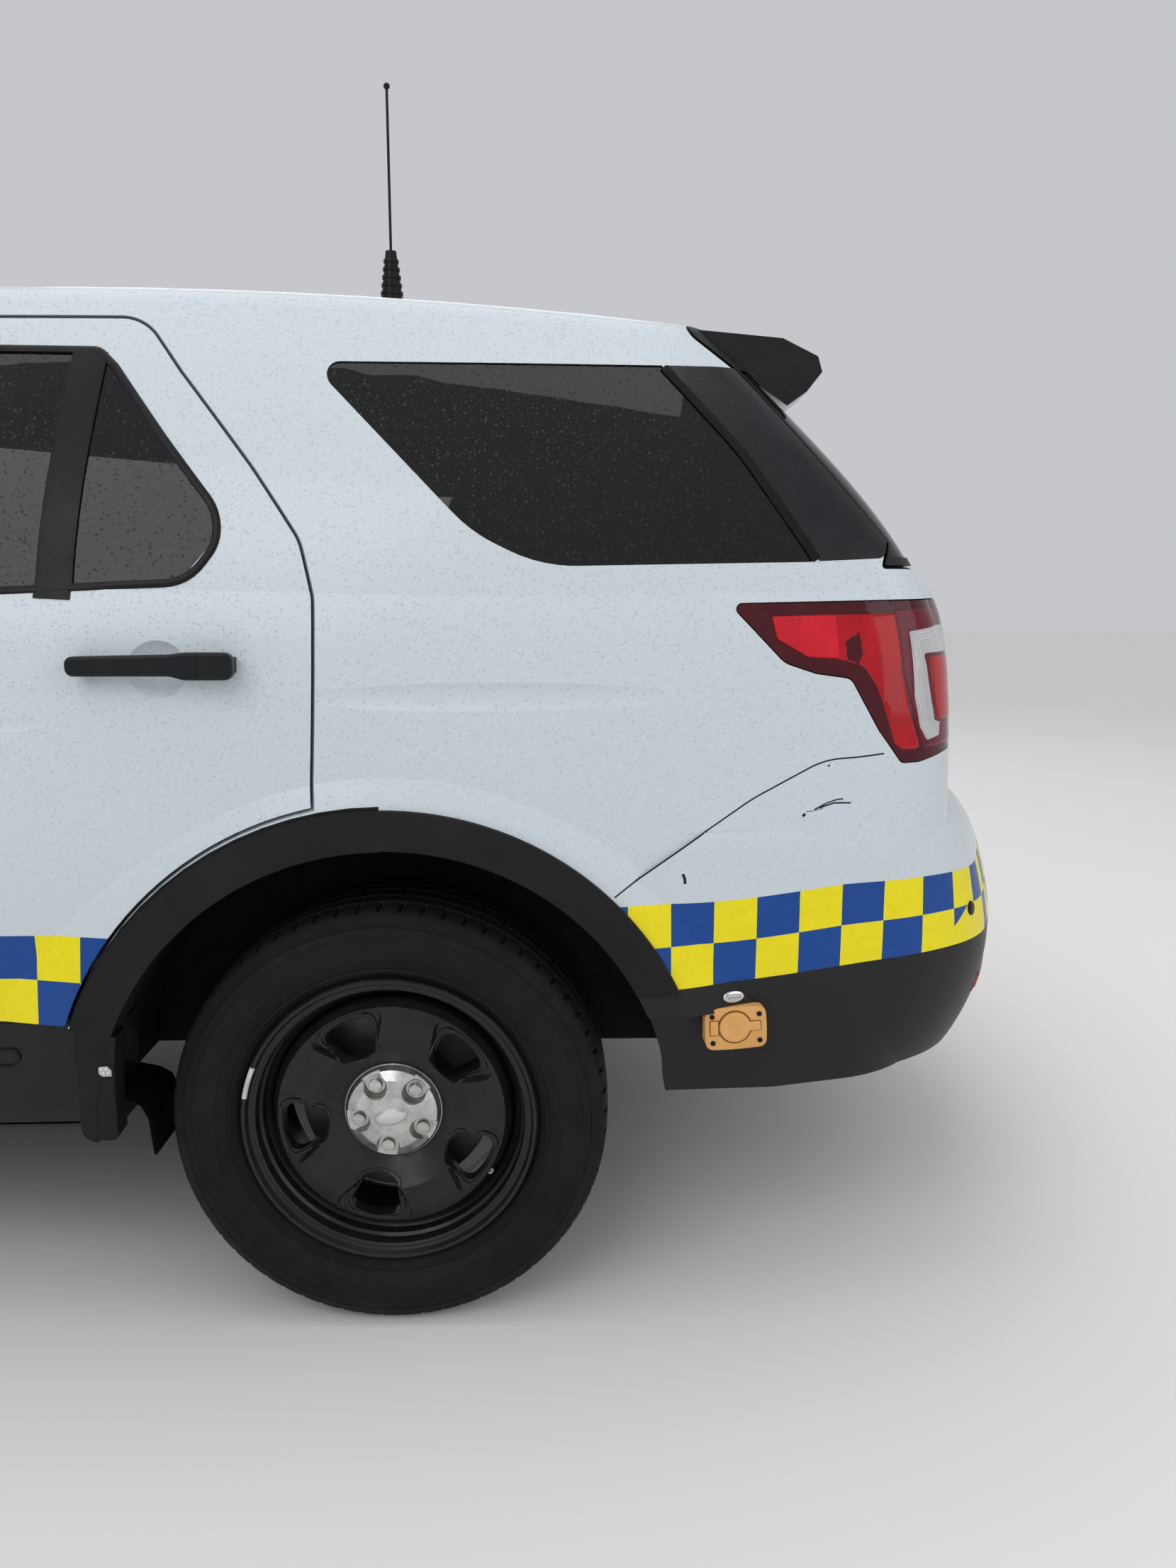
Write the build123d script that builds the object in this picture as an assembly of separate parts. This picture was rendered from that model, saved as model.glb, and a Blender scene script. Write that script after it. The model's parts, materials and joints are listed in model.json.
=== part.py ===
from build123d import *
import math
import os

# Police patrol car: a five-door utility with a steel-wheeled, checker-striped body.
# Millimetres. +X runs rearward, +Y to the car's right, +Z up. The origin is on the
# ground under the middle of the overall length. The left half (y < 0) is built and
# mirrored wherever the two sides agree.

# Driving dimensions
LENGTH = 5006.0
HEIGHT = 1778.0
WHEELBASE = 2860.0
REAR_OVERHANG = 1200.0
TRACK = 1702.0
TYRE_RADIUS = 363.5
TYRE_WIDTH = 245.0
RIM_RADIUS = 246.0
BEAD_RADIUS = 228.6

# Axle stations
X_REAR = LENGTH / 2 - REAR_OVERHANG
X_FRONT = X_REAR - WHEELBASE
WHEEL_Y = TRACK / 2

# Wall depths measured inward from the outer skin
DOOR_WALL = 90.0
FRAME_WALL = 45.0
RING_CLEARANCE = 6.0
RING_WALL = 40.0
ROOF_WALL = 40.0
PANEL_WALL = 60.0
BUMPER_WALL = 45.0
HOOD_WALL = 26.0
GLASS_SET = 3.0
GLASS_WALL = 6.0
SHUT_GAP = 6.0

# Wheel arches
ARCH_RADIUS = 462.0
HOUSE_RADIUS = 470.0
TRIM_RADIUS = 527.0
TRIM_FACE = 984.0
TRIM_DEPTH = 64.0
FLARE_FACE = 974.0
FLARE_RADIUS = 740.0
FLARE_DEPTH = 64.0
REAR_ARCH_TURN = 2.34
FRONT_ARCH_TURN = -2.8
HOUSE_WALL = 8.0

# Running gear
KINGPIN_Y = 765.0
KINGPIN_Z = 200.0
KINGPIN_LEAN = 0.2333
BALL_RADIUS = 14.0
HUB_RADIUS = 62.0
HUB_FACE = 40.0
STRUT_LENGTH = 340.0
RAIL_BOTTOM = 460.0
FIT_GAP = 0.3
WHEEL_BOLTS = 5
WINDOW_TURN = 29.0
NUT_TURN = 26.0
NUT_CIRCLE = 57.15
NUT_RECESS = 17.0
CAP_RADIUS = 81.0
OVERCUT = 5.0
SIDE_REACH = 1100.0
FAR_X = 3000.0
HUB_INNER = 750.0

# Heights
SILL_BOTTOM = 330.0
SILL_TOP = 430.0
FLOOR_WALL = 20.0
CLADDING_TOP = 541.0
DOOR_BOTTOM = 345.0
TAIL_BOTTOM = 385.0
TAILGATE_BOTTOM = 850.0
TAILGATE_HALF = 705.0
LOAD_FLOOR = 690.0
SHOULDER_CUT = 1270.0

# Doors: the rear shut faces lean so that the rear edge swings clear
SHUT_LEAN = 0.40
SHUT_PLANE = 1010.0
FRONT_DOOR_X = -990.0
B_PILLAR_X = 138.0
DOOR_TOP = 1672.0
DOOR_LEG_X = 808.0
LEG_SKIN = 960.0
DOOR_NEAR = 660.0
TOP_WIDTH = 725.0
FRONT_HANDLE_X = -175.0
REAR_HANDLE_X = 968.0
HANDLE_Z = 1117.0

# Body side from sill to belt. Columns: z, x_front, x_rear, half_width, nose_pull, tail_pull,
# nose_bow, tail_bow, nose_corner, tail_corner
TUB = [
    (SILL_BOTTOM, -2330, 2270, 905, 90, 80, 120, 150, 260, 150),
    (450, -2440, 2350, 955, 90, 80, 150, 150, 300, 170),
    (620, -2450, 2366, 972, 90, 80, 150, 150, 300, 170),
    (850, -2455, 2370, 985, 90, 80, 150, 150, 300, 170),
    (1050, -2430, 2362, 980, 90, 80, 150, 150, 300, 170),
    (1190, -2390, 2330, 962, 90, 80, 150, 130, 300, 170),
    (1270, -2340, 2278, 925, 90, 80, 150, 110, 300, 150),
]
TUB_WIDEST_X = 300.0

# Greenhouse from below the belt to above the roof, same columns
GREENHOUSE = [
    (1100, -1232, 2280, 935, 60, 70, 150, 60, 110, 90),
    (1270, -1002, 2225, 930, 60, 70, 150, 60, 110, 90),
    (1450, -759, 2098, 862, 60, 70, 150, 60, 110, 90),
    (1620, -529, 1950, 768, 60, 70, 150, 60, 110, 90),
    (1800, -286, 1798, 655, 60, 65, 150, 60, 110, 90),
]
GREENHOUSE_WIDEST_X = 700.0

# Rear bumper bulge, same columns
REAR_BULGE = [
    (372, 0, 2420, 896, 5, 90, 60, 205, 90, 250),
    (450, 0, 2466, 948, 5, 90, 60, 215, 90, 260),
    (540, 0, 2497, 970, 5, 90, 60, 220, 90, 260),
    (620, 0, LENGTH / 2, 981, 5, 90, 60, 220, 90, 260),
    (735, 0, 2478, 984, 5, 90, 60, 215, 90, 260),
    (790, 0, 2452, 987, 5, 90, 60, 205, 90, 250),
    (845, 0, 2372, 988, 5, 90, 60, 160, 90, 180),
]

# Front bumper bulge, same columns
FRONT_BULGE = [
    (300, -2380, -400, 890, 100, 60, 160, 60, 280, 90),
    (430, -2480, -400, 955, 100, 60, 180, 60, 300, 90),
    (600, -LENGTH / 2, -400, 975, 100, 60, 180, 60, 300, 90),
    (760, -2488, -400, 982, 100, 60, 180, 60, 300, 90),
    (850, -2440, -400, 984, 100, 60, 150, 60, 280, 90),
]
FRONT_WIDEST_X = -1250.0
BULGE_WIDEST_X = 500.0
GRILLE_HALF = 530.0
HINGE_RELIEF = (-885.0, -812.0, -818.0, -780.0, 1090.0, 1112.0)
GRILLE_BOTTOM = 610.0
GRILLE_BARS = (GRILLE_BOTTOM, 688.0, 766.0, 844.0)
GRILLE_BAR = 48.0
INTAKE_HALF = 425.0
INTAKE_BARS = (410.0, 455.0, 500.0)

# Roof and bonnet crown
ROOF_PEAK_X = 750.0
ROOF_SPAN = 1650.0
ROOF_ARC = 9800.0
ROOF_CROWN = 5500.0
BONNET_CROWN = 3900.0
ROOF_EDGE = 70.0
SHOULDER_EDGE = 45.0

# Side-view outlines. Columns: x, z, corner radius
REAR_GLASS = [(195, 1211, 30), (1002, 1247, 25), (1050, 1305, 20), (1045, 1353, 30),
              (955, 1467, 60), (864, 1585, 30), (835, 1612, 20), (195, 1620, 30)]
DIVIDER = [(781, 1200, 0), (831, 1200, 0), (850, 1650, 0), (800, 1650, 0)]
FRONT_GLASS = [(-828, 1158, 20), (85, 1206, 30), (85, 1622, 30), (-208, 1614, 60)]
QUARTER_GLASS = [(1204, 1600, 20), (1210, 1566, 30), (1448, 1321, 240), (1558, 1267, 240),
                 (2000, 1275, 6), (1881, 1456, 500), (1758, 1602, 6)]
PILLAR_TRIM = [(1762, 1602, 0), (1885, 1456, 500), (2004, 1276, 0), (2112, 1281, 16),
               (2120, 1309, 0), (1884, 1602, 0)]
# Soft hollows in the side. Columns: x, y and z of the deepest point, plan radius, section radius
QUARTER_SCALLOP = (1925, 927, 1068, 9000, 45)
DOOR_SCALLOP = (800, 972, 1030, 9000, 45)
GLASS_BAND = [(1893, 1601, 0), (2128, 1306, 12), (2122, 1283, 0), (2700, 1283, 0), (2700, 1601, 0)]
REAR_LEG = [(816, 352, 28), (905, 352, 0), (905, 560, 0), (816, 560, 0)]
TAIL_UNDERSIDE = [(1400, 0, 0), (1400, TAIL_BOTTOM, 0), (1950, TAIL_BOTTOM, 0), (2200, 412, 0),
                  (2700, 440, 0), (2700, 0, 0)]
TAIL_LAMP = [(1859, 1208, 8), (2202, 1215, 0), (2500, 1215, 0), (2500, 968, 0),
             (2236, 968, 0), (2173, 955, 10), (2141, 955, 10), (2101, 1009, 30),
             (2054, 1092, 20), (1997, 1100, 40), (1946, 1117, 40)]
BUMPER_SIDE = [(1540, 250, 0), (1540, 700, 0), (1670, 741, 0), (1896, 899, 90),
               (2008, 962, 60), (2700, 962, 0), (2700, 250, 0)]
TAILGATE_SIDE = [(1808, 1900, 0), (1808, 1668, 40), (1888, 1601, 20), (2123, 1306, 10),
                 (2113, SHOULDER_CUT, 0), (2700, SHOULDER_CUT, 0), (2700, 1900, 0)]
HEADLAMP = [(-2700, 812, 0), (-2330, 812, 20), (-2070, 900, 10), (-2110, 936, 40),
            (-2290, 905, 0), (-2700, 905, 0)]

# Rear edge of the rear door. Columns: x, z, skin_y, corner radius
REAR_DOOR_EDGE = [
    (1184, 700, 969, 0),
    (1204, 1150, 952, 60),
    (1201, 1221, 931, 60),
    (1178, 1306, 907, 80),
    (1100, 1420, 867, 200),
    (972, 1579, 788, 0),
    (902, DOOR_TOP, 735, 60),
]

# Wheel and tyre sections. Columns: radius, y from the wheel's middle plane
BARREL = [(BEAD_RADIUS - FIT_GAP, -98), (RIM_RADIUS, -100), (RIM_RADIUS, -106), (243, -109),
          (238, -108), (234, -100), (224, -95), (221.5, -78), (217, -74), (214, -60),
          (206, -54), (202, -42), (196, -38), (196, 40), (216, 70), (222, 94), (238, 104),
          (RIM_RADIUS, 104), (RIM_RADIUS, 98), (BEAD_RADIUS - FIT_GAP, 97), (222, 60),
          (202, 36), (202, -36), (222, -56)]
DISC = [(0, -60), (84, -60), (98, -68), (130, -86), (168, -88), (190, -82), (200, -70),
        (203, -52), (200, -38), (194, -38), (188, -58), (150, -62), (112, -54),
        (90, -HUB_FACE), (0, -HUB_FACE)]
CAP_DOME = [(0, -90), (34, -88), (60, -81), (75, -72), (CAP_RADIUS, -62), (CAP_RADIUS, -56),
            (0, -56)]
TYRE = [(BEAD_RADIUS, -96), (RIM_RADIUS + 1.5, -97), (262, -115), (292, -TYRE_WIDTH / 2),
        (322, -TYRE_WIDTH / 2 + 1), (350, -106), (360, -88), (TYRE_RADIUS, -40),
        (TYRE_RADIUS, 40), (360, 88), (350, 106), (322, TYRE_WIDTH / 2 - 1),
        (292, TYRE_WIDTH / 2), (262, 115), (RIM_RADIUS + 1.5, 97), (BEAD_RADIUS, 96)]
CAP_FLOOR = -68.0

# Plan outlines, left half. Columns: x, y
BONNET_PLAN = [(-1221, 0), (-1221, -845), (-1900, -835), (-2230, -770), (-2345, -640), (-2405, 0)]
WING_PLAN = [(-980, 100), (-980, -815), (-1221, -815), (-1221, -849), (-1900, -839),
             (-2232, -774), (-2420, -600), (-2420, 100)]
GRILLE_PLAN = [(-2330, -GRILLE_HALF), (-2415, -400), (-2455, -200), (-2465, 0), (-2400, 0),
               (-2390, -200), (-2350, -400), (-2290, -GRILLE_HALF)]
ARM_PLAN = [(-1720, -475), (-1600, -785), (-1514, -785), (-1400, -475)]

# Front-view outline of the windscreen, left half. Columns: y, z
WINDSCREEN = [(0, 1185), (-790, 1185), (-762, 1230), (-575, 1668), (0, 1700)]

# More side-view outlines. Columns: x, z
SPOILER = [(1815, 1673), (1831, 1674), (1974, 1661), (2036, 1631), (2044, 1605), (2018, 1572),
           (1984, 1548), (1893, 1609), (1840, 1600)]
DASHBOARD = [(-1085, 760), (-1085, 1090), (-960, 1130), (-760, 1080), (-700, 960), (-780, 780)]
COLOUR_SEAM = [(1400, 588), (2700, 634)]

# Cabin and roof
SEAT_X = -330.0
SEAT_Y = 380.0
SEAT_WIDTH = 500.0
SEAT_LEAN = 16.0
BENCH_HALF = 620.0
BENCH_LEAN = 18.0
STEERING_Y = -370.0
STEERING_RADIUS = 180.0
LIGHTBAR_HALF = 560.0
LIGHTBAR_FOOT = 440.0
SPOILER_HALF = 650.0
ANTENNA_X = 1205.0
ANTENNA_TIP = 2311.0
ANTENNA_RINGS = 11
RING_PITCH = 17.0

# Power inlet on the bumper: middle of its plate and half its height
INLET_X = 1872.0
INLET_Y = -921.0
INLET_Z = 516.5
INLET_TURN = 3.7
INLET_HALF = 39.5


def half_arc(x_end, bow, half_width, sign):
    """Half of a symmetric bowed edge, from the centreline out to the left side."""
    radius = (half_width**2 + bow**2) / (2 * bow)
    mid_y = half_width / 2
    mid_x = x_end - sign * (radius - math.sqrt(radius**2 - mid_y**2))
    return ThreePointArc((x_end, 0), (mid_x, -mid_y), (x_end - sign * bow, -half_width))


def plan_section(row, widest_x, inset=0.0):
    """Left half of a horizontal section through the body, as a face at its own height."""
    z, x_front, x_rear, width, nose_pull, tail_pull, nose_bow, tail_bow, nose_r, tail_r = row
    x_front += inset
    x_rear -= inset
    width -= inset
    tail = half_arc(x_rear, tail_bow, width - tail_pull, 1)
    nose = half_arc(x_front, nose_bow, width - nose_pull, -1)
    side_x = min(max(widest_x, x_front + 300), x_rear - 300)
    side = ThreePointArc(tail @ 1, (side_x, -width), nose @ 1)
    face = make_face(Curve() + [tail, side, nose, Line(nose @ 0, tail @ 0)])
    for x_corner, radius in ((x_rear - tail_bow, tail_r), (x_front + nose_bow, nose_r)):
        corner = [v for v in face.vertices() if abs(v.X - x_corner) < 1e-3 and v.Y < -1]
        face = fillet(corner, max(radius - inset, 30))
    return Pos(0, 0, z) * face


def stack(rows, widest_x, inset=0.0):
    """Loft through the plan sections."""
    return loft([plan_section(row, widest_x, inset) for row in rows])


def crowned(edge, crown_radius, peak_z, bottom_z):
    """Left half of the solid under a side-view edge that is also crowned across the car."""
    start, end = edge @ 0, edge @ 1
    walls = Polyline(
        (end.X, end.Y), (end.X, bottom_z), (start.X, bottom_z), (start.X, start.Y)
    )
    face = Plane.XZ * make_face(Curve() + [edge, walls])
    return revolve(face, Axis((0, 0, peak_z - crown_radius), (1, 0, 0)), 30)


def roof_solid(inset=0.0):
    """Everything under the roof's surface, lowered by the inset."""
    peak = HEIGHT - inset
    edge_z = peak - ROOF_SPAN**2 / 2 / ROOF_ARC
    arc = ThreePointArc(
        (ROOF_PEAK_X - ROOF_SPAN, edge_z), (ROOF_PEAK_X, peak), (ROOF_PEAK_X + ROOF_SPAN, edge_z)
    )
    return crowned(arc, ROOF_CROWN, HEIGHT, 1000)


def bonnet_solid(inset=0.0):
    """Everything under the bonnet and shoulder surface, lowered by the inset."""
    bonnet = ThreePointArc((-2560, 905 - inset), (-1880, 1108 - inset), (-1180, 1172 - inset))
    belt = TangentArc((-1180, 1172 - inset), (300, 1322 - inset), tangent=bonnet % 1)
    tail = TangentArc((300, 1322 - inset), (2600, 1392 - inset), tangent=belt % 1)
    return crowned(Curve() + [bonnet, belt, tail], BONNET_CROWN, HEIGHT - 600, 200)


def tub_form(inset=0.0, top_inset=0.0):
    """Left half of the lower body."""
    return stack(TUB, TUB_WIDEST_X, inset) & bonnet_solid(top_inset)


def greenhouse_form(inset=0.0, top_inset=0.0):
    """Left half of the upper body."""
    return stack(GREENHOUSE, GREENHOUSE_WIDEST_X, inset) & roof_solid(top_inset)


def rounded_top(form, min_z, radius):
    """Round the edges around the top of a left-half form."""
    edges = [e for e in form.edges() if e.bounding_box().min.Z > min_z
             and e.bounding_box().min.Y < -1]
    return fillet(edges, radius)


def outline(rows):
    """Closed face from rows of (x, z, corner radius)."""
    face = make_face(Polyline(*[(x, z) for x, z, _ in rows], close=True))
    for x, z, radius in rows:
        if radius:
            corner = [v for v in face.vertices() if abs(v.X - x) + abs(v.Y - z) < 0.01]
            face = fillet(corner, radius)
    return face


def side_prism(face, near_y=-OVERCUT, far_y=SIDE_REACH, lean=0.0):
    """Prism of a side-view face between two distances left of the centreline."""
    shift = -lean * (SHUT_PLANE - near_y)
    base = Pos(shift, -near_y, 0) * (Plane.XZ * face)
    return extrude(base, amount=(far_y - near_y) * math.hypot(1, lean), dir=(lean, -1, 0))


def block(x0, x1, y0, y1, z0, z1):
    """Axis-aligned box from its limits."""
    centre = ((x0 + x1) / 2, (y0 + y1) / 2, (z0 + z1) / 2)
    return Pos(*centre) * Box(x1 - x0, y1 - y0, z1 - z0)


def beside(x0, x1, inner_y, z0, z1):
    """Box on the left that reaches from a width out past the side of the body."""
    return block(x0, x1, -SIDE_REACH, -inner_y, z0, z1)


def axle_rod(radius, x, z, y0, y1, taper_radius=None):
    """Cylinder or cone along Y from y0 to y1, its second radius at y1."""
    height = abs(y1 - y0)
    turn = 90 if y1 < y0 else -90
    if taper_radius is None:
        body = Cylinder(radius, height)
    else:
        body = Cone(radius, taper_radius, height)
    return Pos(x, (y0 + y1) / 2, z) * Rot(turn, 0, 0) * body


def at_arch(shape, x_axle):
    """Put a left-hand shape at an axle, turned to follow the side's bow."""
    turn = REAR_ARCH_TURN if x_axle > 0 else FRONT_ARCH_TURN
    return Pos(x_axle, -TRIM_FACE, 0) * Rot(0, 0, turn) * Pos(0, TRIM_FACE, 0) * shape


def arch_room(x_axle):
    """Disc of room for an arch trim, left side."""
    return arch_tool(x_axle, TRIM_RADIUS, 0, 1060, 1060 - TRIM_FACE + TRIM_DEPTH)


def arch_tool(x_axle, outer, inner, face_y, depth):
    """Ring or disc about a wheel, turned to follow the side's bow."""
    ring = axle_rod(outer, 0, TYRE_RADIUS, -(face_y - depth), -face_y)
    if inner:
        ring -= axle_rod(inner, 0, TYRE_RADIUS, -(face_y - depth - 1), -(face_y + 1))
    return at_arch(ring, x_axle)


def flare(x_axle):
    """Shallow cone that lifts the side round an arch."""
    cone = axle_rod(FLARE_RADIUS, 0, TYRE_RADIUS, -(FLARE_FACE - FLARE_DEPTH), -FLARE_FACE,
                    TRIM_RADIUS - 4)
    return at_arch(cone, x_axle) & beside(-FAR_X, FAR_X, 0, CLADDING_TOP, SHOULDER_CUT)


def both(shape):
    """The left shape and its mirror image fused across the centreline."""
    return shape + mirror(shape, about=Plane.XZ)


def pair(shape):
    """The left shape and its separate mirror image."""
    solids = list(shape.solids())
    return Compound(solids + [mirror(s, about=Plane.XZ) for s in solids])


def body_forms():
    """All nested left-half body forms that the panels are cut from."""
    tub = rounded_top(tub_form(), 850, SHOULDER_EDGE)
    green = rounded_top(greenhouse_form(), 1500, ROOF_EDGE)
    ring_in = DOOR_WALL + RING_CLEARANCE
    frame_in = FRAME_WALL + RING_CLEARANCE
    forms = {}
    forms["green"] = green
    forms["outer"] = tub + green + flare(X_REAR) + flare(X_FRONT)
    forms["panel_in"] = tub_form(PANEL_WALL, HOOD_WALL)
    forms["door_in"] = tub_form(DOOR_WALL, HOOD_WALL) + greenhouse_form(FRAME_WALL, ROOF_WALL)
    forms["ring_out"] = tub_form(ring_in, HOOD_WALL) + greenhouse_form(frame_in, ROOF_WALL)
    forms["seal_out"] = (tub_form(DOOR_WALL + FIT_GAP, HOOD_WALL)
                         + greenhouse_form(FRAME_WALL + FIT_GAP, ROOF_WALL))
    forms["ring_in"] = (tub_form(ring_in + RING_WALL, HOOD_WALL)
                        + greenhouse_form(frame_in + RING_WALL, ROOF_WALL))
    forms["glass_out"] = greenhouse_form(GLASS_SET, GLASS_SET)
    forms["glass_in"] = greenhouse_form(GLASS_SET + GLASS_WALL, GLASS_SET + GLASS_WALL)
    forms["rear_bulge"] = stack(REAR_BULGE, BULGE_WIDEST_X)
    forms["rear_bulge_in"] = (stack(REAR_BULGE, BULGE_WIDEST_X, BUMPER_WALL)
                              & beside(0, 3000, 0, 0, 800))
    forms["front_bulge"] = stack(FRONT_BULGE, FRONT_WIDEST_X)
    forms["front_bulge_in"] = stack(FRONT_BULGE, FRONT_WIDEST_X, BUMPER_WALL)
    return forms


def front_door_prism(gap=0.0):
    """Space taken by the front door, or its opening when grown by the gap."""
    front = outline([(FRONT_DOOR_X, DOOR_BOTTOM, 40), (FRONT_DOOR_X, 1085, 60),
                     (-735, 1270, 60), (-192, DOOR_TOP, 60), (900, DOOR_TOP, 0),
                     (900, DOOR_BOTTOM, 0)])
    rows = [(row[0], row[3]) for row in TUB + GREENHOUSE[2:4]]
    edge = [(B_PILLAR_X + SHUT_LEAN * (SHUT_PLANE - width), z, 0) for z, width in rows]
    rear = outline([(-2000, SILL_BOTTOM, 0)] + edge
                   + [(B_PILLAR_X + SHUT_LEAN * (SHUT_PLANE - TOP_WIDTH), DOOR_TOP + 20, 0),
                      (-2000, DOOR_TOP + 20, 0)])
    if gap:
        front = offset(front, gap)
        rear = offset(rear, gap)
    near_y = DOOR_NEAR - gap
    return side_prism(front, near_y) & side_prism(rear, near_y, lean=SHUT_LEAN)


def rear_door_prism(gap=0.0):
    """Space taken by the rear door, or its opening when grown by the gap."""
    front_x = B_PILLAR_X + SHUT_GAP
    front = outline([(front_x, DOOR_BOTTOM, 0), (front_x, DOOR_TOP, 0),
                     (2000, DOOR_TOP, 0), (2000, DOOR_BOTTOM, 0)])
    edge = [(x + SHUT_LEAN * (SHUT_PLANE - skin), z, r) for x, z, skin, r in REAR_DOOR_EDGE]
    rear = outline([(-600, DOOR_BOTTOM, 0), (1205, DOOR_BOTTOM, 0)] + edge
                   + [(-600, DOOR_TOP, 0)])
    leg_x = DOOR_LEG_X + SHUT_LEAN * (SHUT_PLANE - LEG_SKIN)
    leg = outline([(leg_x, 0, 0), (leg_x, CLADDING_TOP - 5, 0), (2000, CLADDING_TOP - 5, 0),
                   (2000, 0, 0)])
    if gap:
        front = offset(front, gap)
        rear = offset(rear, gap)
        leg = offset(leg, -gap)
    wheel = axle_rod(TRIM_RADIUS + SHUT_GAP - gap + 1, X_REAR, TYRE_RADIUS, -1010, -700,
                     TRIM_RADIUS + SHUT_GAP - gap + 63)
    wheel &= beside(0, 2500, 0, CLADDING_TOP - 5, 1200)
    near_y = DOOR_NEAR - gap
    space = side_prism(front, near_y) & side_prism(rear, near_y, lean=SHUT_LEAN)
    return space - wheel - side_prism(leg, near_y - 10, lean=SHUT_LEAN)


def tailgate_prism(gap=0.0):
    """Space taken by the left half of the tailgate, or its opening grown by the gap."""
    upper = outline(TAILGATE_SIDE)
    if gap:
        upper = offset(upper, gap)
    half = TAILGATE_HALF + gap
    lower = block(1990, 2700, -half, OVERCUT, TAILGATE_BOTTOM - gap, 1450)
    return side_prism(upper) + lower


def body_shell(forms, lamp_space):
    """Roof, pillars, quarters, cowl and sills."""
    shell = forms["outer"] - forms["ring_in"]
    for space in (front_door_prism, rear_door_prism, tailgate_prism):
        shell -= space(SHUT_GAP) - forms["ring_out"]
    for opening in shell_openings():
        shell -= opening
    seal = forms["seal_out"] - forms["ring_out"]
    for x0, x1, z0, z1 in ((80, 98, 500, 1100), (1136, 1164, 930, 1080)):
        shell += seal & beside(x0, x1, 700, z0, z1)
    shell += seal & block(2000, 2400, -560, 0, TAILGATE_BOTTOM + 6, TAILGATE_BOTTOM + 28)
    shell -= side_prism(outline(PILLAR_TRIM), 500) - forms["glass_in"]
    shell = clear_of_neighbours(shell, forms, lamp_space)
    shell -= side_scallop(*QUARTER_SCALLOP)
    shell -= block(*HINGE_RELIEF)
    return both(shell)


def shell_openings():
    """Left halves of the ways through the shell: doors, glass, tailgate."""
    front_way = outline([(-890, SILL_TOP, 60), (-890, 1060, 60), (-650, 1260, 60),
                         (-150, 1632, 50), (78, 1632, 50), (78, SILL_TOP, 60)])
    rear_way = outline([(205, SILL_TOP, 60), (205, 1632, 50), (845, 1632, 60),
                        (1110, 1290, 60), (1130, 1000, 60), (790, 700, 120),
                        (740, SILL_TOP, 60)])
    tail_way = block(1700, 2700, -600, OVERCUT, TAILGATE_BOTTOM + 30, 1500)
    tail_way += side_prism(outline([(1790, 1500, 0), (1790, 1660, 0), (2600, 1660, 0),
                                    (2600, 1400, 0)]), -OVERCUT, 560)
    return [side_prism(front_way), side_prism(rear_way), side_prism(outline(QUARTER_GLASS)),
            tail_way, windscreen_space()]


def clear_of_neighbours(shell, forms, lamp_space):
    """Take away from the shell what belongs to the nose, wings, lamps, bumper and arches."""
    shell -= beside(-2700, -1215, -OVERCUT, 0, 1500)
    wing = beside(-1300, FRONT_DOOR_X - SHUT_GAP, 815, 0, 1400)
    shell -= wing - forms["panel_in"]
    shell -= beside(-1300, -1085, -OVERCUT, 0, 1110)
    shell -= lamp_space - forms["panel_in"]
    shell -= side_prism(outline(BUMPER_SIDE)) - forms["panel_in"]
    shell -= beside(1500, 2700, -OVERCUT, 0, TAIL_BOTTOM)
    shell -= axle_rod(HOUSE_RADIUS, X_REAR, TYRE_RADIUS, -600, -SIDE_REACH)
    return shell - arch_room(X_REAR)


def windscreen_space():
    """Front-view opening for the windscreen, left half."""
    face = make_face(Polyline(*WINDSCREEN, close=True))
    return Pos(-1400, 0, 0) * extrude(Plane.YZ * face, amount=1250)


def glass_pane(forms, space):
    """Pane cut from the glass layer."""
    return (forms["glass_out"] - forms["glass_in"]) & space


def front_door(forms):
    """Left front door without glass."""
    door = (forms["outer"] - forms["door_in"]) & front_door_prism()
    door -= side_prism(outline(FRONT_GLASS))
    recess = cladding_groove(FRONT_DOOR_X - 50, B_PILLAR_X + 50)
    return door - recess - handle_cup(FRONT_HANDLE_X)


def rear_door(forms):
    """Left rear door without glass, with its divider bar."""
    door = (forms["outer"] - forms["door_in"]) & rear_door_prism()
    hole = side_prism(outline(REAR_GLASS)) - side_prism(outline(DIVIDER))
    recess = cladding_groove(B_PILLAR_X - 50, 900)
    return door - hole - recess - handle_cup(REAR_HANDLE_X) - side_scallop(*DOOR_SCALLOP)


def cladding_groove(x0, x1):
    """Seam between the painted panel and the lower cladding."""
    return beside(x0, x1, 957, CLADDING_TOP - 3, CLADDING_TOP + 3)


def side_scallop(x, y, z, run, radius):
    """Long shallow hollow in the side; x, y, z is its deepest point and run its plan radius."""
    return Pos(x, -(y + run + radius), z) * Torus(run, radius)


def handle_cup(x):
    """Finger recess behind a door handle."""
    return Pos(x, -1000, HANDLE_Z - 3) * Sphere(60)


def door_handle(forms, x):
    """Strap handle on two feet, left side."""
    side = outline([(x - 126, HANDLE_Z - 15, 12), (x - 126, HANDLE_Z + 15, 12),
                    (x + 30, HANDLE_Z + 18, 40), (x + 52, HANDLE_Z + 21, 30),
                    (x + 126, HANDLE_Z + 21, 14), (x + 126, HANDLE_Z - 21, 14),
                    (x + 52, HANDLE_Z - 21, 30), (x + 30, HANDLE_Z - 15, 40)])
    bar = Pos(0, -988, 0) * extrude(Plane.XZ * side, amount=17)
    bar = fillet(bar.faces().sort_by(Axis.Y)[0].edges(), 5)
    feet = block(x - 122, x - 88, -990, -955, HANDLE_Z - 12, HANDLE_Z + 12)
    feet += block(x + 84, x + 120, -990, -955, HANDLE_Z - 12, HANDLE_Z + 12)
    return (bar + feet) - forms["outer"]


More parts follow.
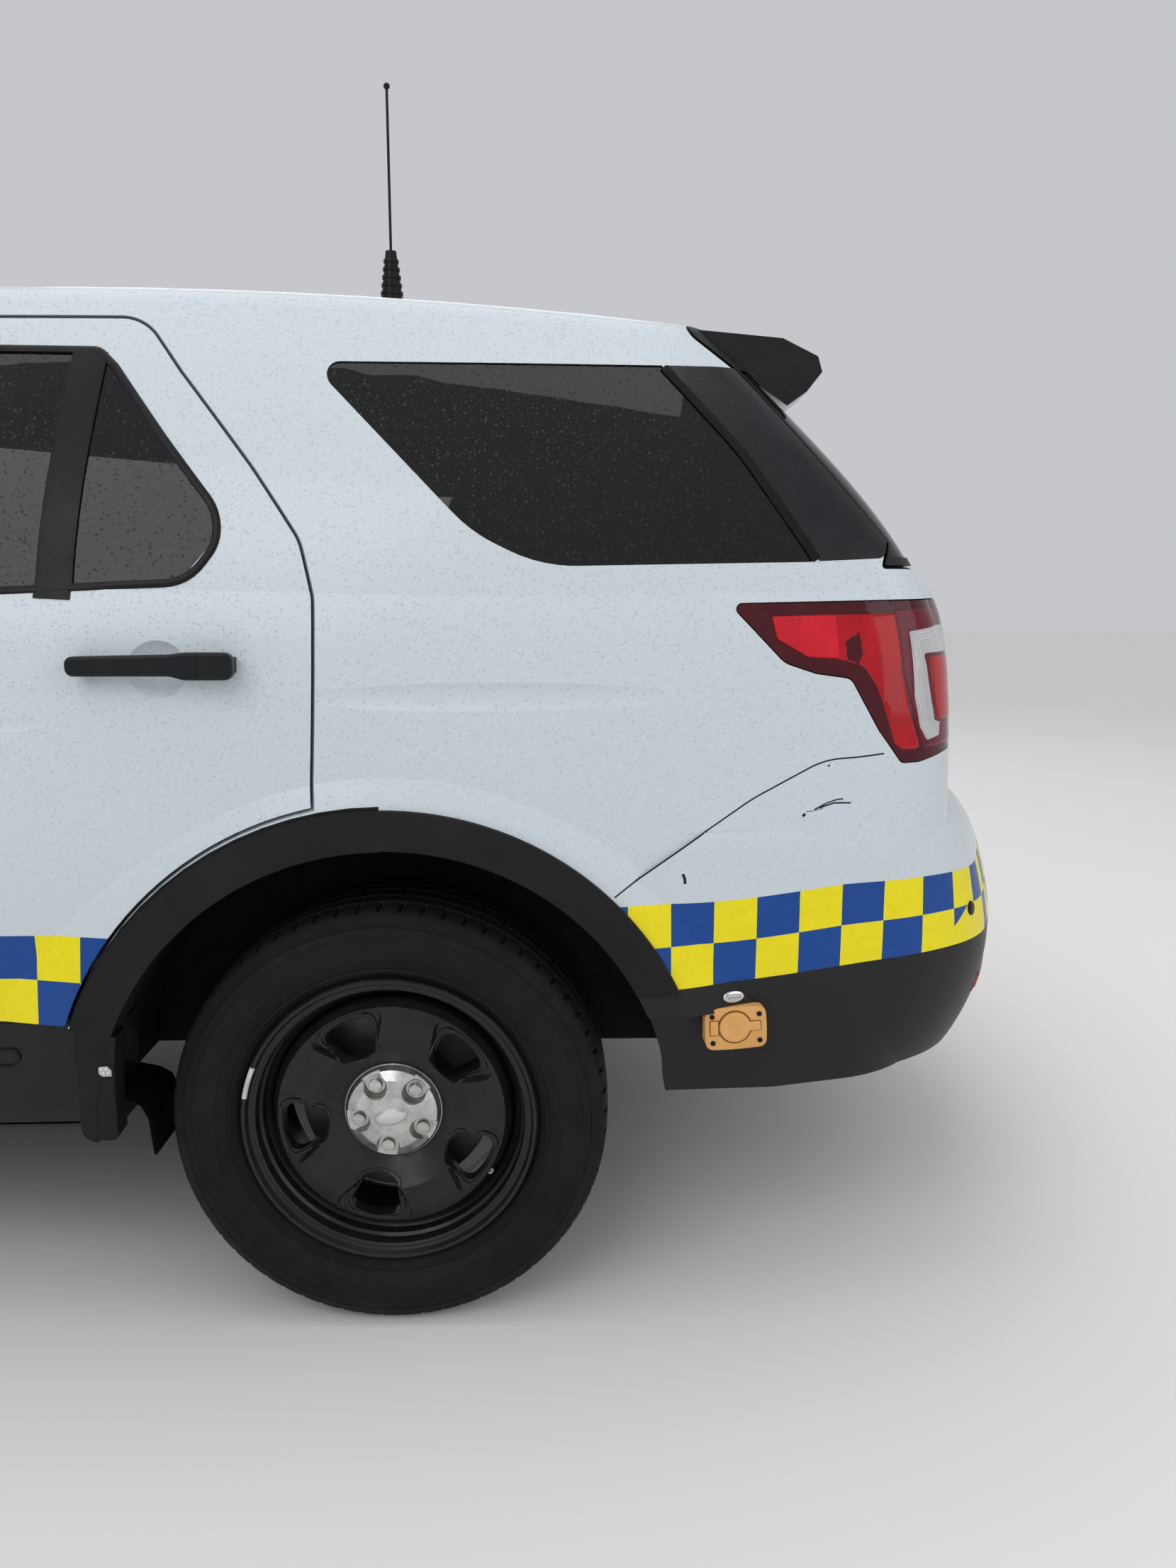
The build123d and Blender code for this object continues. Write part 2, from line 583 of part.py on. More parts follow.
def door_mirror(forms):
    """Door mirror on its foot, left side."""
    side = outline([(-900, 1172, 34), (-768, 1165, 22), (-758, 1292, 30), (-868, 1306, 50)])
    head = Pos(0, -985, 0) * extrude(Plane.XZ * side, amount=150, taper=5)
    head = fillet(head.faces().sort_by(Axis.Y)[0].edges(), 16)
    foot = make_face(Polyline((-880, 1060), (-945, 1060), (-1030, 1180), (-990, 1200),
                              (-940, 1150), close=True))
    foot = Pos(-880, 0, 0) * extrude(Plane.YZ * foot, amount=80)
    return (head + foot) - forms["outer"]


def hood(forms, lamp_space):
    """Bonnet panel, full width."""
    face = make_face(Polyline(*BONNET_PLAN, close=True))
    space = Pos(0, 0, 700) * extrude(face, amount=900)
    panel = (forms["outer"] - forms["panel_in"]) & space
    panel -= beside(-2700, 0, -OVERCUT, 0, 908)
    panel -= lamp_space
    return both(panel & (forms["outer"] - bonnet_solid(HOOD_WALL)))


def front_fender(forms, lamp_space):
    """Left front wing."""
    face = make_face(Polyline((FRONT_DOOR_X - SHUT_GAP, 0), (FRONT_DOOR_X - SHUT_GAP, -SIDE_REACH),
                              (-2350, -SIDE_REACH), (-2350, 0), close=True))
    space = Pos(0, 0, DOOR_BOTTOM) * extrude(face, amount=900)
    wing = (forms["outer"] - forms["panel_in"]) & space
    inner = make_face(Polyline(*WING_PLAN, close=True))
    wing -= Pos(0, 0, 800) * extrude(inner, amount=600)
    nose = outline([(-2700, 300, 0), (-2190, 300, 0), (-2190, 541, 0), (-2110, 880, 0),
                    (-2000, 980, 0), (-2000, 1200, 0), (-2700, 1200, 0)])
    wing -= side_prism(nose)
    wing -= lamp_space
    wing -= axle_rod(ARCH_RADIUS, X_FRONT, TYRE_RADIUS, -400, -SIDE_REACH)
    wing -= arch_room(X_FRONT)
    wing -= beside(-2400, X_FRONT, -OVERCUT, 0, CLADDING_TOP)
    return biggest(wing)


def front_bumper(forms, lamp_space):
    """Bumper skin with its lower intake, full width."""
    skin = forms["outer"] + forms["front_bulge"]
    skin &= beside(-2700, -1690, 0, 300, 902)
    skin -= forms["front_bulge_in"] + forms["panel_in"]
    seam = outline([(-2193, 200, 0), (-2193, 541, 0), (-2113, 880, 0), (-2006, 984, 0),
                    (-1500, 984, 0), (-1500, 200, 0)])
    skin -= side_prism(seam) & beside(-2400, -1500, 0, CLADDING_TOP, 1000)
    skin -= lamp_space
    skin -= axle_rod(ARCH_RADIUS + 4, X_FRONT, TYRE_RADIUS, -400, -SIDE_REACH)
    skin -= block(-2700, -2200, -GRILLE_HALF, OVERCUT, GRILLE_BOTTOM, 1000)
    skin -= block(-2700, -2200, -INTAKE_HALF, OVERCUT, 390, 530)
    return both(biggest(skin))


def front_grille():
    """Upper grille block and lower intake block."""
    upper = make_face(Polyline(*GRILLE_PLAN, close=True))
    back = Pos(22, 0, GRILLE_BOTTOM) * extrude(upper, amount=285)
    for z in GRILLE_BARS:
        back += Pos(0, 0, z) * extrude(upper, amount=GRILLE_BAR)
    lower = block(-2440, -2400, -INTAKE_HALF, 0, 390, 530)
    for z in INTAKE_BARS:
        lower += block(-2452, -2435, -INTAKE_HALF, 0, z, z + 12)
    return both(back), both(lower)


def rear_bumper(forms, lamp_space):
    """Rear bumper skin, full width."""
    skin = forms["outer"] + forms["rear_bulge"]
    skin &= side_prism(outline(BUMPER_SIDE))
    skin -= forms["panel_in"] + forms["rear_bulge_in"]
    half = TAILGATE_HALF + SHUT_GAP
    skin -= block(1500, 2700, -half, OVERCUT, TAILGATE_BOTTOM - SHUT_GAP, 1200)
    skin -= side_prism(outline(TAIL_UNDERSIDE))
    skin -= lamp_space
    skin -= axle_rod(ARCH_RADIUS, X_REAR, TYRE_RADIUS, -600, -SIDE_REACH)
    return skin - (arch_room(X_REAR) & bumper_split(True))


def bumper_split(above):
    """Half-space above or below the rear bumper's colour seam."""
    reach = 1200 if above else 100
    closing = [(x, reach) for x, _ in reversed(COLOUR_SEAM)]
    return side_prism(make_face(Polyline(*COLOUR_SEAM, *closing, close=True)))


def arch_trims():
    """Four plastic arch rings with their legs."""
    above = beside(-3000, 3000, 0, CLADDING_TOP, 1200)
    ring = arch_tool(X_FRONT, TRIM_RADIUS, ARCH_RADIUS, TRIM_FACE, TRIM_DEPTH)
    leg = ring & beside(-1200, -1020, 0, DOOR_BOTTOM, CLADDING_TOP)
    front = biggest((ring & above) + leg)
    ring = arch_tool(X_REAR, TRIM_RADIUS, ARCH_RADIUS, TRIM_FACE, TRIM_DEPTH)
    leg = ring & side_prism(outline(REAR_LEG))
    tail = ring & bumper_split(True) & beside(X_REAR, 3000, 0, 0, 1200)
    head = ring & above & beside(0, X_REAR, 0, 0, 1200)
    return pair(Compound([front, biggest(head + tail + leg)]))


def tail_lamp(forms):
    """Left tail lamp."""
    space = side_prism(outline(TAIL_LAMP), TAILGATE_HALF + SHUT_GAP)
    return (forms["outer"] & space) - forms["panel_in"]


def head_lamp(forms):
    """Left headlamp."""
    space = side_prism(outline(HEADLAMP), GRILLE_HALF + FIT_GAP)
    return biggest((forms["outer"] & space) - forms["panel_in"])


def biggest(shape):
    """The largest solid of a cut."""
    return max(shape.solids(), key=lambda s: s.volume)


def roof_spoiler(forms):
    """Spoiler over the tailgate glass, full width."""
    sections = []
    for y in (SPOILER_HALF, SPOILER_HALF / 2, 0.0):
        bow = 1 - (y / SPOILER_HALF) ** 2
        pts = [(x + 53 * bow, -y, z + 38 * bow) for x, z in SPOILER]
        sections.append(make_face(Polyline(*pts, close=True)))
    return both(biggest(loft(sections) - forms["green"]))


def tailgate(forms):
    """Tailgate frame, full width, without glass."""
    gate = (forms["outer"] - forms["door_in"]) & tailgate_prism()
    hole = side_prism(outline([(1700, 1610, 0), (2700, 1610, 0), (2700, 1310, 0),
                               (1900, 1310, 0)]), -OVERCUT, 540)
    gate -= hole
    gate -= side_prism(outline(GLASS_BAND)) - forms["glass_in"]
    return both(gate)


def tailgate_glass(forms):
    """Wrap-round tailgate glass."""
    return both(glass_pane(forms, side_prism(outline(GLASS_BAND))))


def underbody(forms):
    """Floor, firewall, load floor and rear wheel houses."""
    under = SILL_TOP - FLOOR_WALL
    floor = block(-1085, 700, -900, 0, under, SILL_TOP)
    step = block(700, 720, -900, 0, under, LOAD_FLOOR)
    load = block(720, 2190, -900, 0, LOAD_FLOOR - FLOOR_WALL, LOAD_FLOOR)
    wall = block(-1105, -1085, -900, 0, under, 1100)
    wheel_room = axle_rod(HOUSE_RADIUS + HOUSE_WALL, X_REAR, TYRE_RADIUS, -682, -1000)
    house = wheel_room - axle_rod(HOUSE_RADIUS, X_REAR, TYRE_RADIUS, -690, -1001)
    house &= block(0, 3000, -900, 0, 400, 1200)
    pan = (floor + step + load + wall) - wheel_room
    return both((pan + house) & forms["ring_in"])


def front_houses(forms):
    """Left front wheel house with its chassis rail and strut tower."""
    rail = block(-2500, -1105, -495, -435, RAIL_BOTTOM, 580) & forms["front_bulge_in"]
    house = axle_rod(HOUSE_RADIUS + HOUSE_WALL, X_FRONT, TYRE_RADIUS, -495, -850)
    house -= axle_rod(HOUSE_RADIUS, X_FRONT, TYRE_RADIUS, -503, -900)
    house &= block(-2400, -1105, -900, 0, 480, 1200)
    top = kingpin(470)
    top.origin += top.z_dir * (STRUT_LENGTH + FIT_GAP)
    tower = extrude(top * Circle(48), amount=60)
    return rail + biggest(house & forms["panel_in"]) + tower


def radiator():
    """Radiator with the slam panel that carries the bonnet's buffers."""
    core = block(-2240, -2165, -435, 0, 430, 800)
    panel = block(-2250, -2155, -515, 0, 780, 830)
    buffer = Pos(-2200, -450, 880) * Cylinder(16, 180)
    buffer &= bonnet_solid(HOOD_WALL + FIT_GAP)
    return both(core + panel + buffer)


def tyre():
    """Tyre section turned about the local Y axis, outer face towards -Y."""
    return revolve(make_face(Polyline(*TYRE, close=True)), Axis.Y, 360)


def wheel_window():
    """Outline of one wheel window in the wheel's face, centred on the local X axis."""
    edge = ThreePointArc((168, -46), (180, 0), (168, 46)) + ThreePointArc(
        (117, 24), (108, 0), (117, -24))
    edge += Line((168, 46), (117, 24)) + Line((117, -24), (168, -46))
    face = make_face(edge)
    return fillet(face.vertices(), 15)


def wheel_pocket():
    """Recess round one window, deepest towards the hub and running out at the disc's edge."""
    contour = make_face(Polyline((99, -28), (99, 28), (176, 82), (192, 40), (192, -40),
                                 (176, -82), close=True))
    contour = fillet(contour.vertices(), 14)
    recess = extrude(Pos(0, -100, 0) * (Plane.XZ * contour), amount=60, dir=(0, 1, 0), taper=28)
    floor = make_face(Polyline((80, -110), (80, -57), (188, -87), (188, -110), close=True))
    return recess & extrude(floor, amount=120, both=True)


def wheel_cap():
    """Domed centre cap with an open recess over each wheel nut."""
    cap = revolve(make_face(Polyline(*CAP_DOME, close=True)), Axis.Y, 360)
    for i in range(WHEEL_BOLTS):
        seat_hole = axle_rod(NUT_RECESS, NUT_CIRCLE, 0, CAP_FLOOR, -100, NUT_RECESS + 8)
        seat_hole += block(NUT_CIRCLE, 100, -100, CAP_FLOOR, -NUT_RECESS, NUT_RECESS)
        cap -= Rot(0, NUT_TURN + i * 360 / WHEEL_BOLTS, 0) * seat_hole
    return cap


def rim():
    """Pressed-steel wheel with five windows and its centre cap, outer face towards -Y."""
    body = revolve(make_face(Polyline(*BARREL, close=True)), Axis.Y, 360)
    body += revolve(make_face(Polyline(*DISC, close=True)), Axis.Y, 360)
    hole = extrude(Plane.XZ * wheel_window(), amount=120)
    pocket = wheel_pocket()
    for i in range(WHEEL_BOLTS):
        turn = Rot(0, WINDOW_TURN + i * 360 / WHEEL_BOLTS, 0)
        body -= turn * pocket
        body -= turn * hole
    return body + wheel_cap()


def wheel_at(shape, x, side):
    """Place a wheel part; side is -1 for the left and 1 for the right."""
    placed = Pos(x, -WHEEL_Y, TYRE_RADIUS) * shape
    return placed if side < 0 else mirror(placed, about=Plane.XZ)


def kingpin(z):
    """Plane square to the left steering axis where it passes a height."""
    return Plane(origin=(X_FRONT, -KINGPIN_Y + KINGPIN_LEAN * (z - KINGPIN_Z), z),
                 z_dir=(0, KINGPIN_LEAN, 1))


def hub(x, inner_y):
    """Hub drum that the wheel's disc sits on."""
    return axle_rod(HUB_RADIUS, x, TYRE_RADIUS, -inner_y, -(WHEEL_Y + HUB_FACE - FIT_GAP))


def front_knuckle():
    """Left front upright with hub, steering arm, ball pin and strut."""
    upright = block(X_FRONT - 45, X_FRONT + 45, -785, -705, 290, 500)
    pin = extrude(kingpin(232) * Circle(BALL_RADIUS), amount=70)
    strut = extrude(kingpin(470) * Circle(38), amount=STRUT_LENGTH)
    arm = block(X_FRONT, X_FRONT + 150, -745, -715, 330, 360)
    return hub(X_FRONT, HUB_INNER) + upright + pin + strut + arm


def front_suspension():
    """Front subframe on its posts, with lower arms."""
    frame = block(-1800, -1350, -480, 0, 225, 285)
    arm = make_face(Polyline(*ARM_PLAN, close=True))
    arm = Pos(0, 0, 240) * extrude(arm, amount=26)
    arm -= extrude(kingpin(200) * Circle(BALL_RADIUS + FIT_GAP), amount=120)
    post = block(-1790, -1730, -480, -440, 285, RAIL_BOTTOM)
    post += block(-1420, -1360, -480, -440, 285, RAIL_BOTTOM)
    return both(frame + arm + post)


def rear_suspension():
    """Rear subframe, arms, hub carriers and springs."""
    frame = block(1080, 1520, -420, 0, 290, 380)
    arm = block(1120, 1480, -700, -415, 262, 296)
    carrier = block(X_REAR - 63, X_REAR + 63, -785, -690, 240, 480)
    spring = Pos(X_REAR, -560, 475) * Cylinder(62, 390)
    post = block(1100, 1150, -400, -340, 370, LOAD_FLOOR - FLOOR_WALL)
    return both(frame + arm + carrier + hub(X_REAR, HUB_INNER) + spring + post)


def engine():
    """Engine block."""
    return block(-2060, -1330, -290, 290, 285, 930)


def dashboard(ring_in):
    """Dashboard and console."""
    face = make_face(Polyline(*DASHBOARD, close=True))
    desk = extrude(Plane.XZ * face, amount=DOOR_NEAR - 20) & ring_in
    console = block(-900, -120, -130, 0, SILL_TOP, 700)
    return both(desk + console)


def steering_wheel(desk):
    """Steering wheel with its column into the dashboard, left-hand drive."""
    plane = Plane(origin=(-610, STEERING_Y, 960), z_dir=(0.9, 0, 0.44))
    wheel = plane * Torus(STEERING_RADIUS, 15)
    spoke = plane * Box(40, 2 * STEERING_RADIUS - 10, 16)
    column = extrude(plane * Circle(28), amount=-140)
    return wheel + spoke + (column - desk)


def seat(x, y, width):
    """Seat with cushion, backrest and head restraint facing -X."""
    cushion = fillet(block(x, x + 520, y - width / 2, y + width / 2, 600, 760).edges(), 40)
    base = block(x + 60, x + 480, y - width / 2 + 40, y + width / 2 - 40, SILL_TOP, 610)
    back = block(-60, 70, -width / 2, width / 2, 0, 640)
    back = fillet(back.edges(), 45)
    rest = fillet(block(-50, 50, -130, 130, 660, 850).edges(), 35)
    stalk = block(-12, 12, -60, 60, 600, 700)
    return cushion + base + Pos(x + 500, y, 690) * Rot(0, SEAT_LEAN, 0) * (back + rest + stalk)


def rear_bench():
    """Rear bench seat facing -X."""
    half = BENCH_HALF
    cushion = fillet(block(560, 1080, -half, half, 700, 860).edges(), 40)
    base = block(740, 1060, -half + 40, half - 40, LOAD_FLOOR, 720)
    back = fillet(block(-60, 70, -half, half, 0, 560).edges(), 45)
    back = Pos(1060, 0, 800) * Rot(0, BENCH_LEAN, 0) * back
    return cushion + base + back


def lightbar(forms):
    """Low roof lightbar on two feet."""
    bar = block(-330, -50, -LIGHTBAR_HALF, LIGHTBAR_HALF, 1800, 1872)
    bar = fillet(bar.edges().filter_by(Axis.Z), 60)
    bar = fillet(bar.faces().sort_by(Axis.Z)[-1].edges(), 18)
    foot = block(-250, -130, -LIGHTBAR_FOOT - 30, -LIGHTBAR_FOOT + 30, 1700, 1802)
    return bar + both(foot - forms["green"])


def whip_antenna(forms):
    """Ribbed cone with a thin whip and ball tip."""
    base = roof_height(ANTENNA_X, 0)
    cone = Pos(ANTENNA_X, 0, base + 100) * Cone(36, 12, 208)
    for i in range(ANTENNA_RINGS):
        cone += Pos(ANTENNA_X, 0, base + 12 + i * RING_PITCH) * Cylinder(37 - 2.0 * i, 7)
    tip = Pos(ANTENNA_X, 0, ANTENNA_TIP) * Sphere(7)
    foot_z = base + 195
    whip = Pos(ANTENNA_X, 0, (foot_z + ANTENNA_TIP) / 2) * Cylinder(3, ANTENNA_TIP - foot_z)
    return (cone + whip + tip) - both(forms["green"])


def roof_height(x, y):
    """Height of the roof's surface."""
    return HEIGHT - (x - ROOF_PEAK_X) ** 2 / 2 / ROOF_ARC - y**2 / 2 / ROOF_CROWN


def power_inlet(forms):
    """Covered power inlet on the left of the rear bumper."""
    plate = block(-52, 52, -8, 40, -INLET_HALF, INLET_HALF)
    plate = fillet(plate.edges().filter_by(Axis.Y), 8)
    plate += axle_rod(30, 0, 3, 0, -16)
    placed = Pos(INLET_X, INLET_Y, INLET_Z) * Rot(0, 0, INLET_TURN) * plate
    return placed - (forms["outer"] + forms["rear_bulge"])


def exhaust():
    """Exhaust line with rear silencer and its hangers."""
    path = Polyline((-1200, -20, 330), (900, -20, 330), (1000, -20, 440), (1640, -20, 500))
    pipe = sweep(Plane(origin=path @ 0, z_dir=path % 0) * Circle(27), path=path,
                 transition=Transition.ROUND)
    silencer = fillet(block(1620, 1960, -330, 330, 430, 600).edges().filter_by(Axis.Y), 60)
    hanger = block(-620, -580, -30, -10, 340, SILL_TOP - FLOOR_WALL)
    strap = block(1780, 1810, -220, -190, 590, LOAD_FLOOR - FLOOR_WALL)
    return pipe + silencer + hanger + strap


def fuel_tank():
    """Fuel tank ahead of the rear axle."""
    return fillet(block(180, 680, -600, -90, 270, SILL_TOP - FLOOR_WALL).edges(), 25)


def write(shape, node):
    """Write one node."""
    export_step(shape, "parts/" + node + ".step")


def write_body(forms):
    """Write the panels, lamps, fixed glass and trims."""
    tail_space = side_prism(offset(outline(TAIL_LAMP), 2.0), TAILGATE_HALF - 20)
    head_space = side_prism(offset(outline(HEADLAMP), FIT_GAP), GRILLE_HALF)
    write(body_shell(forms, tail_space), "body_shell")
    write(underbody(forms), "underbody")
    write(pair(front_houses(forms)), "front_wheel_houses")
    write(pair(front_fender(forms, head_space)), "front_fenders")
    write(front_bumper(forms, head_space), "front_bumper")
    write(Compound(list(front_grille())), "grilles")
    write(pair(head_lamp(forms)), "headlamps")
    write(pair(tail_lamp(forms)), "tail_lamps")
    write(radiator(), "radiator")
    bumper = rear_bumper(forms, tail_space)
    write(both(biggest(bumper & bumper_split(True))), "rear_bumper")
    write(both(biggest(bumper & bumper_split(False))), "rear_valance")
    write(both(glass_pane(forms, windscreen_space())), "windscreen")
    write(pair(glass_pane(forms, side_prism(outline(QUARTER_GLASS)))), "quarter_glasses")
    trim = (forms["green"] - forms["glass_in"]) & side_prism(outline(PILLAR_TRIM))
    write(pair(trim), "pillar_trims")
    write(arch_trims(), "arch_trims")
    write(hood(forms, head_space), "hood")
    write(tailgate(forms), "tailgate")
    write(tailgate_glass(forms), "tailgate_glass")
    write(roof_spoiler(forms), "roof_spoiler")


def write_sides(forms):
    """Write the pieces that have a left and a right node."""
    rear_pane = side_prism(outline(REAR_GLASS)) - side_prism(outline(DIVIDER))
    pieces = {
        "front_door": front_door(forms),
        "rear_door": rear_door(forms),
        "front_door_glass": glass_pane(forms, side_prism(outline(FRONT_GLASS))),
        "rear_door_glass": glass_pane(forms, rear_pane),
        "front_door_handle": door_handle(forms, FRONT_HANDLE_X),
        "rear_door_handle": door_handle(forms, REAR_HANDLE_X),
        "door_mirror": door_mirror(forms),
        "front_knuckle": front_knuckle(),
    }
    for name, shape in pieces.items():
        write(shape, name + "_left")
        write(mirror(shape, about=Plane.XZ), name + "_right")


def write_running_gear():
    """Write the wheels, suspension, engine, exhaust and tank."""
    rubber = tyre()
    steel = rim()
    for end, x in (("front", X_FRONT), ("rear", X_REAR)):
        for side, sign in (("left", -1), ("right", 1)):
            write(wheel_at(rubber, x, sign), f"tyre_{end}_{side}")
            write(wheel_at(steel, x, sign), f"rim_{end}_{side}")
    write(front_suspension(), "front_suspension")
    write(rear_suspension(), "rear_suspension")
    write(engine(), "engine_block")
    write(exhaust(), "exhaust")
    write(fuel_tank(), "fuel_tank")


def write_fittings(forms):
    """Write the cabin's pieces and what stands on the roof and bumper."""
    desk = dashboard(forms["ring_in"])
    write(desk, "dashboard")
    write(steering_wheel(desk), "steering_wheel")
    write(pair(seat(SEAT_X, -SEAT_Y, SEAT_WIDTH)), "front_seats")
    write(rear_bench(), "rear_seat")
    write(lightbar(forms), "lightbar")
    write(whip_antenna(forms), "whip_antenna")
    write(power_inlet(forms), "power_inlet")


def main():
    """Build every node."""
    os.makedirs("parts", exist_ok=True)
    forms = body_forms()
    write_body(forms)
    write_sides(forms)
    write_running_gear()
    write_fittings(forms)


main()
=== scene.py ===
"""Dressed model of the police patrol car: finishes, trim, lamps, wheels, seats and the studio round it."""

from __future__ import annotations

import json
import logging
import math
from dataclasses import dataclass
from enum import Enum

import bmesh
import bpy
from mathutils import Matrix, Vector
from mathutils.bvhtree import BVHTree

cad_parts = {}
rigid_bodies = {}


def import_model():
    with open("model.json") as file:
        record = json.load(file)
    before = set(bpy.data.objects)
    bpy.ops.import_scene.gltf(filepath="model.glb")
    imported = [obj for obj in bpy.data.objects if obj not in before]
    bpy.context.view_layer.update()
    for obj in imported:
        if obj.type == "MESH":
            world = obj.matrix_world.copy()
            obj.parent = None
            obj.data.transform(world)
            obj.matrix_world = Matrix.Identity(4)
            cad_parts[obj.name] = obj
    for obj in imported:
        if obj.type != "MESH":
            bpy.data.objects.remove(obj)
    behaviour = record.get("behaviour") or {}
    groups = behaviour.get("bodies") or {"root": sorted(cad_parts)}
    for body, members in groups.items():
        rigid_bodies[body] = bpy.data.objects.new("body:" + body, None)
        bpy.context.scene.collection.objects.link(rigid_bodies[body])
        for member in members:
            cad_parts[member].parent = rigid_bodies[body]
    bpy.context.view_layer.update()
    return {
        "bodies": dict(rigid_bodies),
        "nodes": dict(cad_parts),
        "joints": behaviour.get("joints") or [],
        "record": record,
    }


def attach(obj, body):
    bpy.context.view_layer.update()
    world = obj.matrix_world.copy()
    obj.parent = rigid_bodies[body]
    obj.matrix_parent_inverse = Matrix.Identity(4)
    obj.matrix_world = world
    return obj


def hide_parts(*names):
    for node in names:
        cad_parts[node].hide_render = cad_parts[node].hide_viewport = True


LOG = logging.getLogger("patrol_car")

Point2 = tuple[float, float]
Point3 = tuple[float, float, float]
Colour = tuple[float, float, float]
Rows = tuple[Point3, ...]
Socket = bpy.types.NodeSocket
Masks = tuple[Socket, Socket, Socket]
Material = bpy.types.Material
Piece = bpy.types.Object

# Places that the wheels, the paint and the arches share, in metres
AXLE_Z = 0.3635
REAR_AXLE_X = 1.303
FRONT_AXLE_X = -1.557
WHEELBASE_MIDDLE_X = -0.127
HALF_WHEELBASE = 1.43


class Side(Enum):
    """The two sides of the car, by the sign of Y."""

    LEFT = -1
    RIGHT = 1

    @property
    def word(self) -> str:
        """The side's name as used in node and body names."""
        return self.name.lower()


class Grain(Enum):
    """How coarse a moulded surface is."""

    FINE = 1400.0
    COARSE = 700.0


# Frames

# Frame whose Z points out of the car's left side and whose Y points up
UPRIGHT = Matrix(((1.0, 0.0, 0.0, 0.0), (0.0, 0.0, -1.0, 0.0), (0.0, 1.0, 0.0, 0.0), (0.0, 0.0, 0.0, 1.0)))


def placed(by: Point3) -> Matrix:
    """Move by a distance along each axis."""
    return Matrix.Translation(by)


def turned(degrees: float, axis: str = "Z") -> Matrix:
    """Turn about one axis."""
    return Matrix.Rotation(math.radians(degrees), 4, axis)


# Node graphs


